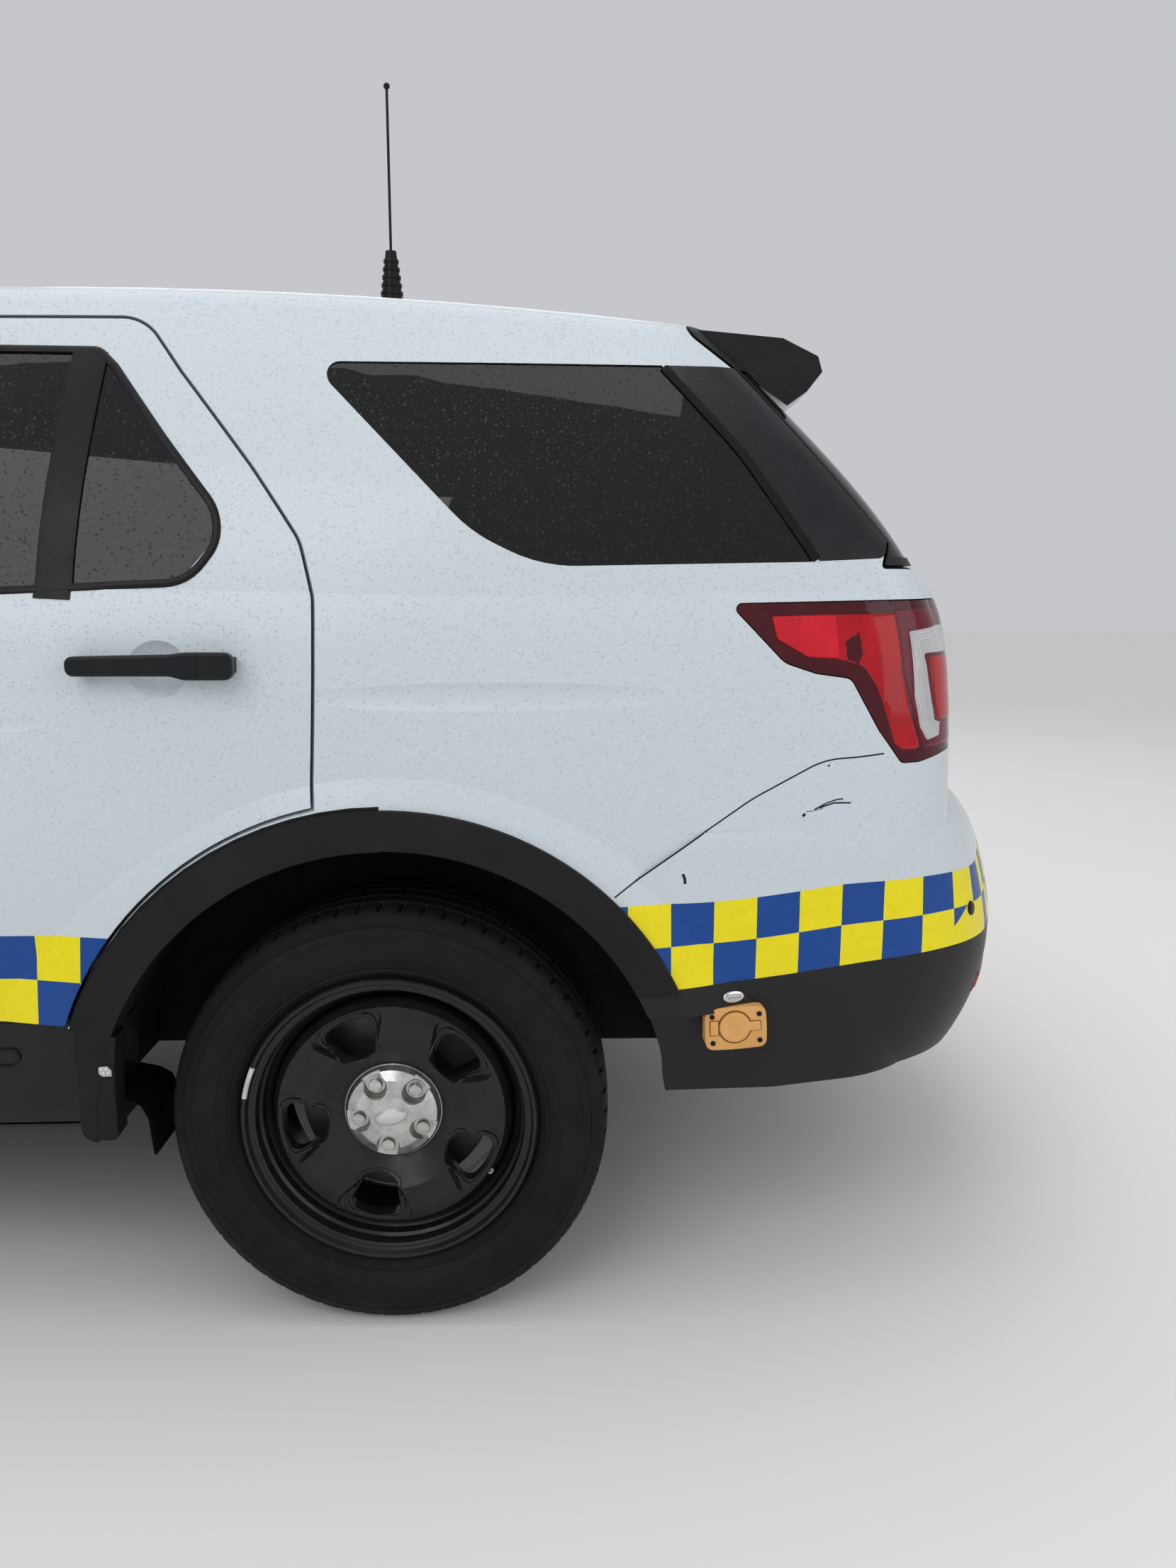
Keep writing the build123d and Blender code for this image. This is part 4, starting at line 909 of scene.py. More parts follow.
class MeshKit:
    """Makers of meshes from profiles, paths and grids."""

    @staticmethod
    def make(name: str, points: list, faces: list, smooth: bool = True, sharp_deg: float = 38.0) -> Piece:
        """Make an object from points and faces.

        Args:
            name: The object's name.
            points: Vertex positions in metres.
            faces: Vertex numbers of each face.
            smooth: Whether faces shade smoothly.
            sharp_deg: Angle above which an edge stays sharp.

        Returns:
            The linked object.
        """
        mesh = bpy.data.meshes.new(name)
        mesh.from_pydata([tuple(p) for p in points], [], faces)
        mesh.validate()
        work = bmesh.new()
        work.from_mesh(mesh)
        bmesh.ops.recalc_face_normals(work, faces=work.faces)
        work.to_mesh(mesh)
        work.free()
        if smooth:
            mesh.polygons.foreach_set("use_smooth", [True] * len(mesh.polygons))
            mesh.set_sharp_from_angle(angle=math.radians(sharp_deg))
        mesh.update()
        made = bpy.data.objects.new(name, mesh)
        bpy.context.scene.collection.objects.link(made)
        return made

    @staticmethod
    def loops(name: str, rows: list, caps: bool = True, ring: bool = False,
            sharp_deg: float = 38.0) -> Piece:
        """Skin closed loops of points, one after another.

        Args:
            name: The object's name.
            rows: Closed loops, all with the same number of points.
            caps: Whether the first and last loops are filled.
            ring: Whether the last loop joins the first.
            sharp_deg: Angle above which an edge stays sharp.

        Returns:
            The linked object.
        """
        count = len(rows[0])
        points = [p for row in rows for p in row]
        faces: list[tuple[int, ...]] = []
        for v in range(len(rows) if ring else len(rows) - 1):
            w = (v + 1) % len(rows)
            for u in range(count):
                t = (u + 1) % count
                faces.append((v * count + u, v * count + t, w * count + t, w * count + u))
        if caps and not ring:
            faces.append(tuple(range(count)))
            faces.append(tuple(range((len(rows) - 1) * count, len(rows) * count)))
        return MeshKit.make(name, points, faces, sharp_deg=sharp_deg)

    @staticmethod
    def plane(name: str, size: float) -> Piece:
        """Flat square sheet on the ground."""
        corners = [(-size, -size, 0.0), (size, -size, 0.0), (size, size, 0.0), (-size, size, 0.0)]
        return MeshKit.make(name, corners, [(0, 1, 2, 3)], False)

    @staticmethod
    def lathe(name: str, profile: list[Point2], place: Matrix, steps: int = 48,
            ring: bool = False) -> Piece:
        """Turn a profile of (radius, height) about a local Z axis.

        Args:
            name: The object's name.
            profile: Points from one end of the section to the other.
            place: Where the local frame goes.
            steps: Facets round the axis.
            ring: Whether the section closes on itself.

        Returns:
            The linked object.
        """
        rows = []
        for radius, height in profile:
            rows.append([place @ Vector((max(radius, 1e-5) * math.cos(2 * math.pi * i / steps),
                max(radius, 1e-5) * math.sin(2 * math.pi * i / steps), height)) for i in range(steps)])
        return MeshKit.loops(name, rows, not ring, ring)

    @staticmethod
    def plate(name: str, outline: list[Point2], low: float, high: float, place: Matrix,
            bevel: float = 0.001) -> Piece:
        """Bevelled plate of an outline, between two heights of its local frame.

        Args:
            name: The object's name.
            outline: Closed outline in the local X and Y.
            low: Height of the back.
            high: Height of the front.
            place: Where the local frame goes.
            bevel: Width of the front edge's bevel.

        Returns:
            The linked object.
        """
        rows = []
        for inset, height in ((0.0, low), (0.0, high - bevel), (0.3 * bevel, high - 0.3 * bevel),
                (bevel, high)):
            loop = Shape2.inset(outline, inset)
            rows.append([place @ Vector((x, y, height)) for x, y in loop])
        return MeshKit.loops(name, rows, sharp_deg=50.0)

    @staticmethod
    def tube(name: str, path: list[Vector], radius: float, steps: int = 12, ring: bool = False) -> Piece:
        """Round bar along a path.

        Args:
            name: The object's name.
            path: Points of its middle line.
            radius: The bar's radius.
            steps: Facets round the bar.
            ring: Whether the path closes on itself.

        Returns:
            The linked object.
        """
        rows = []
        side = Vector((0.0, 0.0, 1.0))
        for i, point in enumerate(path):
            before = path[i - 1] if i or ring else point
            after = path[(i + 1) % len(path)] if i < len(path) - 1 or ring else point
            way = (after - before).normalized()
            side = (side - way * side.dot(way))
            if side.length < 1e-4:
                side = way.orthogonal()
            side.normalize()
            other = way.cross(side)
            rows.append([point + (side * math.cos(t) + other * math.sin(t)) * radius for t in (2 * math.pi
                * k / steps for k in range(steps))])
        return MeshKit.loops(name, rows, not ring, ring)

    @staticmethod
    def mirrored(piece: Piece, name: str) -> Piece:
        """Copy a piece across the car's centre plane.

        Args:
            piece: The left piece.
            name: The copy's name.

        Returns:
            The right piece.
        """
        mesh = piece.data.copy()
        mesh.transform(Matrix.Scale(-1.0, 4, (0.0, 1.0, 0.0)))
        mesh.flip_normals()
        made = bpy.data.objects.new(name, mesh)
        bpy.context.scene.collection.objects.link(made)
        return made


class Shape2:
    """Plane outlines."""

    @staticmethod
    def rounded(rows: list[Point3], steps: int = 6) -> list[Point2]:
        """Closed outline from corners with radii.

        Args:
            rows: Corner x, y and radius.
            steps: Points on each arc.

        Returns:
            The outline's points.
        """
        out: list[Point2] = []
        count = len(rows)
        for i, (x, y, radius) in enumerate(rows):
            here = Vector((x, y))
            back = (Vector(rows[i - 1][:2]) - here).normalized()
            ahead = (Vector(rows[(i + 1) % count][:2]) - here).normalized()
            angle = back.angle(ahead)
            if radius <= 0 or angle > math.radians(178):
                out.append((x, y))
                continue
            run = min(radius / math.tan(angle / 2), 0.48 * (Vector(rows[i - 1][:2]) - here).length,
                0.48 * (Vector(rows[(i + 1) % count][:2]) - here).length)
            start, end = here + back * run, here + ahead * run
            for k in range(steps + 1):
                t = k / steps
                point = start * (1 - t) ** 2 + here * 2 * t * (1 - t) + end * t**2
                out.append((point.x, point.y))
        return out

    @staticmethod
    def inset(points: list[Point2], amount: float) -> list[Point2]:
        """Move an outline inwards; a negative amount moves it outwards.

        Args:
            points: Closed outline.
            amount: Distance in metres.

        Returns:
            The moved outline.
        """
        if not amount:
            return list(points)
        count = len(points)
        area = sum(points[i - 1][0] * points[i][1] - points[i][0] * points[i - 1][1] for i in range(count))
        sign = 1.0 if area > 0 else -1.0
        out = []
        for i in range(count):
            a, b, c = (Vector(points[(i + k) % count]) for k in (-1, 0, 1))
            first, second = b - a, c - b
            if first.length < 1e-9:
                first = second
            if second.length < 1e-9:
                second = first
            n1 = Vector((-first.y, first.x)).normalized() * sign
            n2 = Vector((-second.y, second.x)).normalized() * sign
            mid = n1 + n2
            mid = mid.normalized() / max(0.5, math.sqrt((1 + n1.dot(n2)) / 2)) if mid.length else n1
            moved = b + mid * amount
            out.append((moved.x, moved.y))
        return out

    @staticmethod
    def resample(points: list[Point2], step: float, closed: bool) -> list[Point2]:
        """Divide long runs so that no gap is over a step.

        Args:
            points: The line's points.
            step: Longest gap.
            closed: Whether the line closes on itself.

        Returns:
            The line with more points.
        """
        out: list[Point2] = []
        last = len(points) if closed else len(points) - 1
        for i in range(last):
            a, b = Vector(points[i]), Vector(points[(i + 1) % len(points)])
            parts = max(1, math.ceil((b - a).length / step))
            if (b - a).length < 1e-7:
                continue
            out += [tuple(a.lerp(b, k / parts)) for k in range(parts)]
        if not closed:
            out.append(points[-1])
        return out

    @staticmethod
    def ellipse(width: float, height: float, steps: int = 40) -> list[Point2]:
        """Ellipse about the origin from its full width and height."""
        return [(width / 2 * math.cos(2 * math.pi * i / steps), height / 2 * math.sin(2 * math.pi * i
            / steps)) for i in range(steps)]

    @staticmethod
    def box(width: float, height: float, radius: float) -> list[Point2]:
        """Rounded rectangle about the origin."""
        w, h = width / 2, height / 2
        return Shape2.rounded([(-w, -h, radius), (w, -h, radius), (w, h, radius), (-w, h, radius)])


@dataclass
class Panel:
    """A thin raised piece that follows the car's skin."""

    name: str
    face: Face
    outline: list[Point3]
    lift: float = 0.0012
    bevel: float = 0.002
    sink: float = 0.003
    step: float = 0.02
    relax: int = 2

    def build(self, skin: Skin) -> Piece:
        """Make the piece.

        Args:
            skin: What it lies on.

        Returns:
            The linked object.
        """
        k = self.face.scale
        flat = Shape2.rounded([(a * k, b, r) for a, b, r in self.outline])
        work = self._sheet(Shape2.resample(flat, self.step, True))
        verts = list(work.verts)
        places = [skin.hit(self.face, v.co.x / k, v.co.y) for v in verts]
        rims = [v.is_boundary for v in verts]
        heights = [self.lift * min(max(v.co.z, 0.0), 1.0) for v in verts]
        index = {v: i for i, v in enumerate(verts)}
        near = [[index[e.other_vert(v)] for e in v.link_edges] for v in verts]
        spots = [p for p, _ in places]
        for _ in range(self.relax):
            spots = [p if rims[i] or not near[i] else p * 0.5 + sum((spots[j] for j in near[i]), Vector())
                / len(near[i]) * 0.5 for i, p in enumerate(spots)]
        normals = [n for _, n in places]
        normals = [n if not near[i] else (n + sum((normals[j] for j in near[i]), Vector())
            / len(near[i])).normalized() for i, n in enumerate(normals)]
        count = len(verts)
        points = [spots[i] + normals[i] * heights[i] for i in range(count)]
        points += [spots[i] - normals[i] * self.sink for i in range(count)]
        faces = [tuple(index[v] for v in f.verts) for f in work.faces]
        faces += [tuple(i + count for i in reversed(f)) for f in list(faces)]
        for edge in work.edges:
            if edge.is_boundary:
                a, b = (index[v] for v in edge.verts)
                faces.append((a, b, b + count, a + count))
        work.free()
        return MeshKit.make(self.name, points, faces)

    def _sheet(self, outline: list[Point2]) -> bmesh.types.BMesh:
        """Divide the flat outline, with height 0 on its rim and 1 inside the bevel.

        Args:
            outline: The outline's points.

        Returns:
            The divided flat mesh.
        """
        work = bmesh.new()
        inner = Shape2.inset(outline, self.bevel)
        outer_verts = [work.verts.new((x, y, 0.0)) for x, y in outline]
        inner_verts = [work.verts.new((x, y, 1.0)) for x, y in inner]
        count = len(outline)
        for i in range(count):
            j = (i + 1) % count
            work.faces.new((outer_verts[i], outer_verts[j], inner_verts[j], inner_verts[i]))
        work.faces.new(inner_verts)
        xs, ys = [p[0] for p in outline], [p[1] for p in outline]
        for low, high, normal in ((min(xs), max(xs), (1.0, 0.0, 0.0)), (min(ys), max(ys), (0.0, 1.0, 0.0))):
            for i in range(1, math.ceil((high - low) / self.step)):
                at = low + i * self.step
                bmesh.ops.bisect_plane(work, geom=work.verts[:] + work.edges[:] + work.faces[:],
                    plane_co=(at * normal[0], at * normal[1], 0.0), plane_no=normal, dist=1e-7)
        big = [f for f in work.faces if len(f.verts) > 4]
        bmesh.ops.triangulate(work, faces=big)
        return work


@dataclass
class Strip:
    """A raised strip along a line on the car's skin."""

    name: str
    face: Face
    path: list[Point3]
    closed: bool = True
    width: float = 0.012
    height: float = 0.002
    sink: float = 0.003
    outward: float = 0.0
    step: float = 0.03

    def build(self, skin: Skin) -> Piece:
        """Make the strip.

        Args:
            skin: What it lies on.

        Returns:
            The linked object.
        """
        k = self.face.scale
        rows = [(a * k, b, r) for a, b, r in self.path]
        if self.closed:
            line = Shape2.inset(Shape2.rounded(rows), -self.outward)
        else:
            ends = Shape2.rounded(rows)
            first = next(i for i, p in enumerate(ends) if math.dist(p, rows[0][:2]) < 1e-6)
            line = ends[first:] + ends[:first]
        line = Shape2.resample(line, self.step, self.closed)
        spots = [skin.hit(self.face, a / k, b) for a, b in line]
        half, top = self.width / 2, self.height
        section = [(-half, -self.sink), (-half, 0.4 * top), (-0.72 * half, top), (0.72 * half, top),
            (half, 0.4 * top), (half, -self.sink)]
        loops = []
        for i, (place, normal) in enumerate(spots):
            before = spots[i - 1][0] if i or self.closed else place
            last = i == len(spots) - 1 and not self.closed
            after = place if last else spots[(i + 1) % len(spots)][0]
            across = normal.cross(after - before).normalized()
            loops.append([place + across * u + normal * v for u, v in section])
        return MeshKit.loops(self.name, loops, not self.closed, self.closed)


@dataclass
class PadForm:
    """A stuffed form: a rounded block with crowned faces, tucked sides and sewn channels."""

    name: str
    size: Point3
    radius: float
    crown: float
    channels: tuple[tuple[int, float], ...] = ()
    divisions: int = 18

    def build(self, place: Matrix) -> Piece:
        """Make the form.

        Args:
            place: Where its middle goes.

        Returns:
            The linked object.
        """
        work = bmesh.new()
        bmesh.ops.create_cube(work, size=2.0)
        bmesh.ops.subdivide_edges(work, edges=work.edges[:], cuts=self.divisions, use_grid_fill=True)
        half = Vector(self.size) / 2
        for vert in work.verts:
            vert.co = place @ self._shape(Vector(vert.co), half)
        mesh = bpy.data.meshes.new(self.name)
        work.to_mesh(mesh)
        work.free()
        mesh.polygons.foreach_set("use_smooth", [True] * len(mesh.polygons))
        made = bpy.data.objects.new(self.name, mesh)
        bpy.context.scene.collection.objects.link(made)
        return made

    def _shape(self, unit: Vector, half: Vector) -> Vector:
        """Place one point of the unit cube on the stuffed form.

        Args:
            unit: The point on the cube.
            half: Half of the form's size.

        Returns:
            The shaped point.
        """
        inner = half - Vector((self.radius,) * 3)
        box = Vector(unit[i] * half[i] for i in range(3))
        core = Vector(max(-inner[i], min(inner[i], box[i])) for i in range(3))
        away = box - core
        shaped = core + (away.normalized() * self.radius if away.length > 1e-9 else away)
        strong = max(range(3), key=lambda i: abs(unit[i]))
        others = [i for i in range(3) if i != strong]
        swell = (1 - unit[others[0]] ** 2) * (1 - unit[others[1]] ** 2)
        way = 1.0 if unit[strong] > 0 else -1.0
        amount = self.crown * swell - 0.35 * self.crown
        for axis, position in self.channels:
            if axis != strong:
                gap = abs(unit[axis] - position) * half[axis]
                amount -= 0.007 * math.exp(-(gap / 0.012) ** 2)
        shaped[strong] += way * amount
        return shaped


@dataclass
class Fitter:
    """Gives pieces their finish and the body they ride on."""

    count: int = 0

    def put(self, piece: Piece, finish: Material, slot: str = "black_plastic", body: str = "body") -> Piece:
        """Dress a piece and let it ride.

        Args:
            piece: The piece.
            finish: Its material.
            slot: Not used.
            body: The body it rides on.

        Returns:
            The same piece.
        """
        piece.data.materials.clear()
        piece.data.materials.append(finish)
        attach(piece, body)
        self.count += 1
        LOG.info("piece %s", piece.name)
        return piece

    def both(self, piece: Piece, finish: Material, slot: str = "black_plastic",
            body: str = "body") -> tuple[Piece, Piece]:
        """Dress a left piece and its mirror image.

        Args:
            piece: The left piece, whose name ends in _left.
            finish: The material of both.
            slot: Handed on to put.
            body: The left body, or one without a side.

        Returns:
            The left and the right piece.
        """
        other = MeshKit.mirrored(piece, piece.name.replace("_left", "_right"))
        self.put(piece, finish, slot, body)
        self.put(other, finish, slot, body.replace("_left", "_right"))
        return piece, other


# The car


def metres(rows: Rows | list[Point3]) -> list[Point3]:
    """Turn rows in millimetres into metres."""
    return [(a / 1000, b / 1000, r / 1000) for a, b, r in rows]


def frame_at(place: Vector, out: Vector, turn_deg: float = 0.0) -> Matrix:
    """Frame at a point: Z outward, X level.

    Args:
        place: Its origin.
        out: Its Z direction.
        turn_deg: Turn about the outward axis.

    Returns:
        The frame.
    """
    up = Vector((0.0, 0.0, 1.0)) if abs(out.z) < 0.8 else Vector((0.0, 1.0, 0.0))
    level = up.cross(out).normalized()
    rise = out.cross(level).normalized()
    return Matrix.Translation(place) @ Matrix((level, rise, out)).transposed().to_4x4() @ turned(turn_deg)


def seat_on(skin: Skin, face: Face, a: float, b: float, turn_deg: float = 0.0) -> Matrix:
    """Frame at a named place on the skin: Z outward, X level."""
    place, out = skin.hit(face, a, b)
    return frame_at(place, out, turn_deg)


@dataclass
class Finishes:
    """Every finish of the car, built once."""

    def __post_init__(self) -> None:
        """Build the materials."""
        self.paint = BodyPaint("white_paint").build()
        self.door_paint = BodyPaint("white_paint_doors", Film.DOORS, 0.541).build()
        self.bumper_paint = BodyPaint("white_paint_bumper", Film.BUMPER).build()
        self.tail_paint = BodyPaint("white_paint_tailgate", Film.TAILGATE).build()
        self.side_paint = BodyPaint("white_paint_sides", Film.NONE, 0.541).build()
        self.black = Plastic("black_moulding", (0.008, 0.008, 0.009), 0.52).build()
        self.trim_black = Plastic("black_trim", (0.006, 0.006, 0.007), 0.36).build()
        self.handle_black = Plastic("black_handle", (0.008, 0.009, 0.011), 0.34).build()
        self.liner = Plastic("arch_liner", (0.004, 0.004, 0.0045), 0.8, Grain.COARSE).build()
        self.seal = Plastic("black_seal", (0.003, 0.003, 0.003), 0.6).build()
        self.gloss_black = GlossPlastic("gloss_black", (0.006, 0.006, 0.007)).build()
        self.pillar_black = GlossPlastic("pillar_black", (0.008, 0.009, 0.011), 0.2).build()
        self.glass = TintedGlass("tinted_glass").build()
        self.clear_glass = TintedGlass("clear_glass", (0.72, 0.76, 0.76)).build()
        self.lamp_red = GlossPlastic("lamp_red", (0.34, 0.001, 0.006), 0.1).build()
        self.lamp_bright = GlossPlastic("lamp_bright_red", (0.52, 0.002, 0.014), 0.12, ribs=260.0).build()
        self.lamp_dark_red = GlossPlastic("lamp_dark_red", (0.05, 0.001, 0.004), 0.1).build()
        self.lamp_plum = GlossPlastic("lamp_plum", (0.11, 0.002, 0.012), 0.1).build()
        self.lamp_clear = GlossPlastic("lamp_clear", (0.42, 0.42, 0.43), 0.1).build()
        self.lamp_bezel = GlossPlastic("lamp_bezel", (0.03, 0.03, 0.034), 0.16, wet=False).build()
        self.lamp_white = GlossPlastic("lamp_white", (0.62, 0.62, 0.63), 0.08, wet=False).build()
        self.amber = GlossPlastic("lamp_amber", (0.75, 0.22, 0.01), 0.1, wet=False).build()
        self.beacon = GlossPlastic("beacon_blue", (0.01, 0.05, 0.42), 0.1, ribs=60.0).build()
        self.rubber = TyreRubber("tyre_rubber").build()
        self.wheel = WheelPaint("wheel_black").build()
        self.enamel = GlossPlastic("wheel_enamel", (0.006, 0.0065, 0.008), 0.3, wet=False).build()
        self.cap = Metal("cap_steel", (0.6, 0.6, 0.58), 0.26, 1.0, 900.0).build()
        self.chrome = Metal("chrome", (0.75, 0.75, 0.76), 0.08, 1.0, 300.0).build()
        self.disc = Metal("brake_disc", (0.1, 0.1, 0.1), 0.42, 0.8, 700.0, 0.5).build()
        self.zinc = Metal("wheel_weight", (0.62, 0.64, 0.64), 0.5, 0.2).build()
        self.underseal = Metal("underseal", (0.008, 0.008, 0.0085), 0.7, 0.0, 0.0, 0.3).build()
        self.cast = Metal("cast_metal", (0.2, 0.2, 0.205), 0.5, 0.9, 0.0, 0.4).build()
        self.pipe = Metal("exhaust_steel", (0.34, 0.32, 0.3), 0.42, 1.0, 0.0, 0.6).build()
        self.mirror = Metal("mirror_glass", (0.8, 0.82, 0.83), 0.03, 1.0, 60.0).build()
        self.cloth = SeatCloth("seat_cloth").build()
        self.orange = Plastic("inlet_orange", (0.66, 0.34, 0.11), 0.5, worn=(0.72, 0.43, 0.19)).build()
        self.orange_dark = Plastic("inlet_groove", (0.16, 0.07, 0.02), 0.6).build()
        self.plate = Plastic("plate_white", (0.66, 0.67, 0.66), 0.35).build()
        self.scuff = Plastic("scuff", (0.01, 0.01, 0.011), 0.7).build()


@dataclass
class Bodywork:
    """Finishes of the panels and parts that the solids already shape."""

    frame: dict
    finish: Finishes

    def dress(self) -> None:
        """Give every node its finish."""
        f = self.finish
        table = {"body_shell": f.side_paint, "underbody": f.liner, "front_wheel_houses": f.liner,
            "front_fenders": f.door_paint, "front_bumper": f.side_paint, "grilles": f.black,
            "headlamps": f.lamp_clear, "tail_lamps": f.lamp_dark_red, "rear_bumper": f.bumper_paint,
            "rear_valance": f.bumper_paint, "windscreen": f.clear_glass, "quarter_glasses": f.glass,
            "pillar_trims": f.pillar_black, "arch_trims": f.black, "hood": f.paint,
            "tailgate": f.tail_paint, "tailgate_glass": f.glass, "roof_spoiler": f.gloss_black,
            "front_suspension": f.underseal, "rear_suspension": f.underseal, "engine_block": f.cast,
            "dashboard": f.black, "steering_wheel": f.black, "front_seats": f.cloth, "rear_seat": f.cloth,
            "lightbar": f.beacon, "whip_antenna": f.trim_black, "power_inlet": f.orange, "exhaust": f.pipe,
            "fuel_tank": f.underseal, "radiator": f.underseal}
        for side in Side:
            for part, finish in (("front_door", f.door_paint), ("rear_door", f.door_paint),
                    ("front_door_glass", f.glass), ("rear_door_glass", f.glass), ("front_door_handle",
                    f.handle_black), ("rear_door_handle", f.handle_black), ("door_mirror", f.gloss_black),
                    ("front_knuckle", f.underseal), ("tyre_front", f.rubber), ("tyre_rear", f.rubber),
                    ("rim_front", f.wheel), ("rim_rear", f.wheel)):
                table[f"{part}_{side.word}"] = finish
        for name, material in table.items():
            for slot in self.frame["nodes"][name].material_slots:
                slot.material = material
        LOG.info("finishes on %d nodes", len(table))


@dataclass
class WheelSet:
    """Tyres, wheel nuts, valves, balance weights and brakes."""

    fit: Fitter
    finish: Finishes
    nodes: dict
    axles: tuple[tuple[str, float], ...] = (("front", FRONT_AXLE_X), ("rear", REAR_AXLE_X))
    wheel_y: float = 0.851
    centre_z: float = AXLE_Z
    pitches: int = 64
    nut_circle: float = 0.05715
    nut_turn_deg: float = 26.0
    bolts: int = 5
    window_turn_deg: float = 29.0
    # columns: radius, distance to the side, corner radius
    window: Rows = ((0.1755, -0.053, 0.016), (0.1865, 0.0, 0.2), (0.1755, 0.053, 0.016),
        (0.112, 0.031, 0.012), (0.102, 0.0, 0.06), (0.112, -0.031, 0.012))
    # columns: radius, half width
    section: tuple[Point2, ...] = ((0.2286, 0.096), (0.2475, 0.097), (0.253, 0.104), (0.259, 0.1105),
        (0.261, 0.114), (0.264, 0.1135), (0.2655, 0.112), (0.27, 0.115), (0.276, 0.1185), (0.283, 0.1205),
        (0.2845, 0.1218), (0.286, 0.121), (0.293, 0.122), (0.3, 0.1223), (0.31, 0.1218), (0.32, 0.1205),
        (0.3212, 0.1215), (0.3228, 0.12), (0.33, 0.117), (0.334, 0.115), (0.3352, 0.116), (0.3368, 0.1135),
        (0.343, 0.1095), (0.347, 0.106), (0.351, 0.1035), (0.356, 0.098), (0.359, 0.091), (0.3602, 0.086),
        (0.3612, 0.076), (0.362, 0.064), (0.3621, 0.062), (0.3555, 0.0605), (0.3555, 0.0545),
        (0.3625, 0.053), (0.363, 0.04), (0.3632, 0.027), (0.3632, 0.0258), (0.356, 0.0245), (0.356, 0.0185),
        (0.3634, 0.017), (0.3635, 0.008))

    def build(self) -> None:
        """Make every wheel's pieces."""
        rubber = self._tyre()
        for end, x in self.axles:
            here = placed((x, -self.wheel_y, self.centre_z)) @ UPRIGHT
            self._fit_tyre(rubber, end, here)
            self._fittings(end, here)
            self._window_lips(end, x)
            self._brake(end, here)
        bpy.data.objects.remove(rubber)

    def _tyre(self) -> Piece:
        """Tread and sidewalls about the local Z axis.

        Returns:
            The tyre, as a pattern for all four.
        """
        outer = list(self.section) + [(r, -h) for r, h in reversed(self.section)]
        loop = outer + [(0.238, -0.06), (0.238, 0.06)]
        rows = []
        for pitch in range(self.pitches):
            for share, cut in ((0.0, 0.0), (0.05, 1.0), (0.17, 1.0), (0.22, 0.0), (0.6, 0.0), (0.62, 0.6),
                    (0.66, 0.6), (0.68, 0.0)):
                turn = 2 * math.pi * (pitch + share) / self.pitches
                rows.append([self._tread_point(r, h, turn, cut) for r, h in loop])
        return MeshKit.loops("tyre_pattern", rows, False, True, sharp_deg=30.0)

    def _tread_point(self, radius: float, height: float, turn: float, cut: float) -> Vector:
        """One point of the tyre, with its slots cut.

        Args:
            radius: Radius of the plain section.
            height: Distance from the wheel's middle plane.
            turn: Angle round the axle.
            cut: How deep a slot is here, 0 to 1.

        Returns:
            The point in the wheel's frame.
        """
        wide = abs(height)
        if cut == 1.0 and 0.063 < wide < 0.1 and radius > 0.35:
            radius -= 0.0055 * min(1.0, (0.1005 - wide) / 0.012)
        elif 0.0 < cut < 1.0 and wide < 0.052 and radius > 0.3615:
            radius -= 0.0035
        turn += 0.9 * (wide - 0.05) / 2.0 if wide < 0.1 else 0.0225
        return Vector((radius * math.cos(turn), radius * math.sin(turn), height))

    def _fit_tyre(self, pattern: Piece, end: str, here: Matrix) -> None:
        """Put a copy of the tyre on both wheels of an axle.

        Args:
            pattern: The tyre about its own axis.
            end: front or rear.
            here: The left wheel's frame.
        """
        mesh = pattern.data.copy()
        mesh.transform(here)
        piece = bpy.data.objects.new(f"tyre_tread_{end}_left", mesh)
        bpy.context.scene.collection.objects.link(piece)
        pieces = self.fit.both(piece, self.finish.rubber, "tyre_rubber", f"{end}_wheel_left")
        for tyre, side in zip(pieces, Side):
            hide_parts(f"tyre_{end}_{side.word}")

    def _fittings(self, end: str, here: Matrix) -> None:
        """Nuts, cap centre, valve and balance weight.

        Args:
            end: front or rear.
            here: The left wheel's frame.
        """
        body = f"{end}_wheel_left"
        nut = [(0.0, 0.0652), (0.0164, 0.0652), (0.0164, 0.0692), (0.0158, 0.07), (0.0136, 0.07),
            (0.013, 0.0688), (0.0116, 0.0688), (0.0112, 0.07), (0.0112, 0.076), (0.0104, 0.0778),
            (0.008, 0.0788), (0.004, 0.0793), (0.0, 0.0794)]
        for i in range(self.bolts):
            turn = -math.radians(self.nut_turn_deg + 360.0 * i / self.bolts)
            spot = here @ placed((self.nut_circle * math.cos(turn), self.nut_circle * math.sin(turn), 0.0))
            self.fit.both(MeshKit.lathe(f"wheel_nut_{i + 1}_{end}_left", nut, spot, 24), self.finish.cap,
                "wheel_steel", body)
        tilt = here @ turned(12.0)
        self.fit.both(MeshKit.plate(f"cap_oval_{end}_left", Shape2.ellipse(0.056, 0.029, 40), 0.08, 0.0905,
            tilt, 0.0014), self.finish.cap, "wheel_steel", body)
        self.fit.both(MeshKit.plate(f"cap_oval_face_{end}_left", Shape2.ellipse(0.049, 0.023, 40), 0.089,
            0.0915, tilt, 0.0008), self.finish.chrome, "wheel_steel", body)
        path = [here @ Vector((r * math.cos(-0.56), r * math.sin(-0.56), h)) for r, h in ((0.2015, 0.046),
            (0.1975, 0.06), (0.1935, 0.074), (0.192, 0.0795))]
        self.fit.both(MeshKit.tube(f"valve_stem_{end}_left", path, 0.0042, 14), self.finish.seal,
            "tyre_rubber", body)
        self.fit.both(MeshKit.tube(f"valve_cap_{end}_left", path[2:], 0.005, 14), self.finish.zinc,
            "wheel_steel", body)
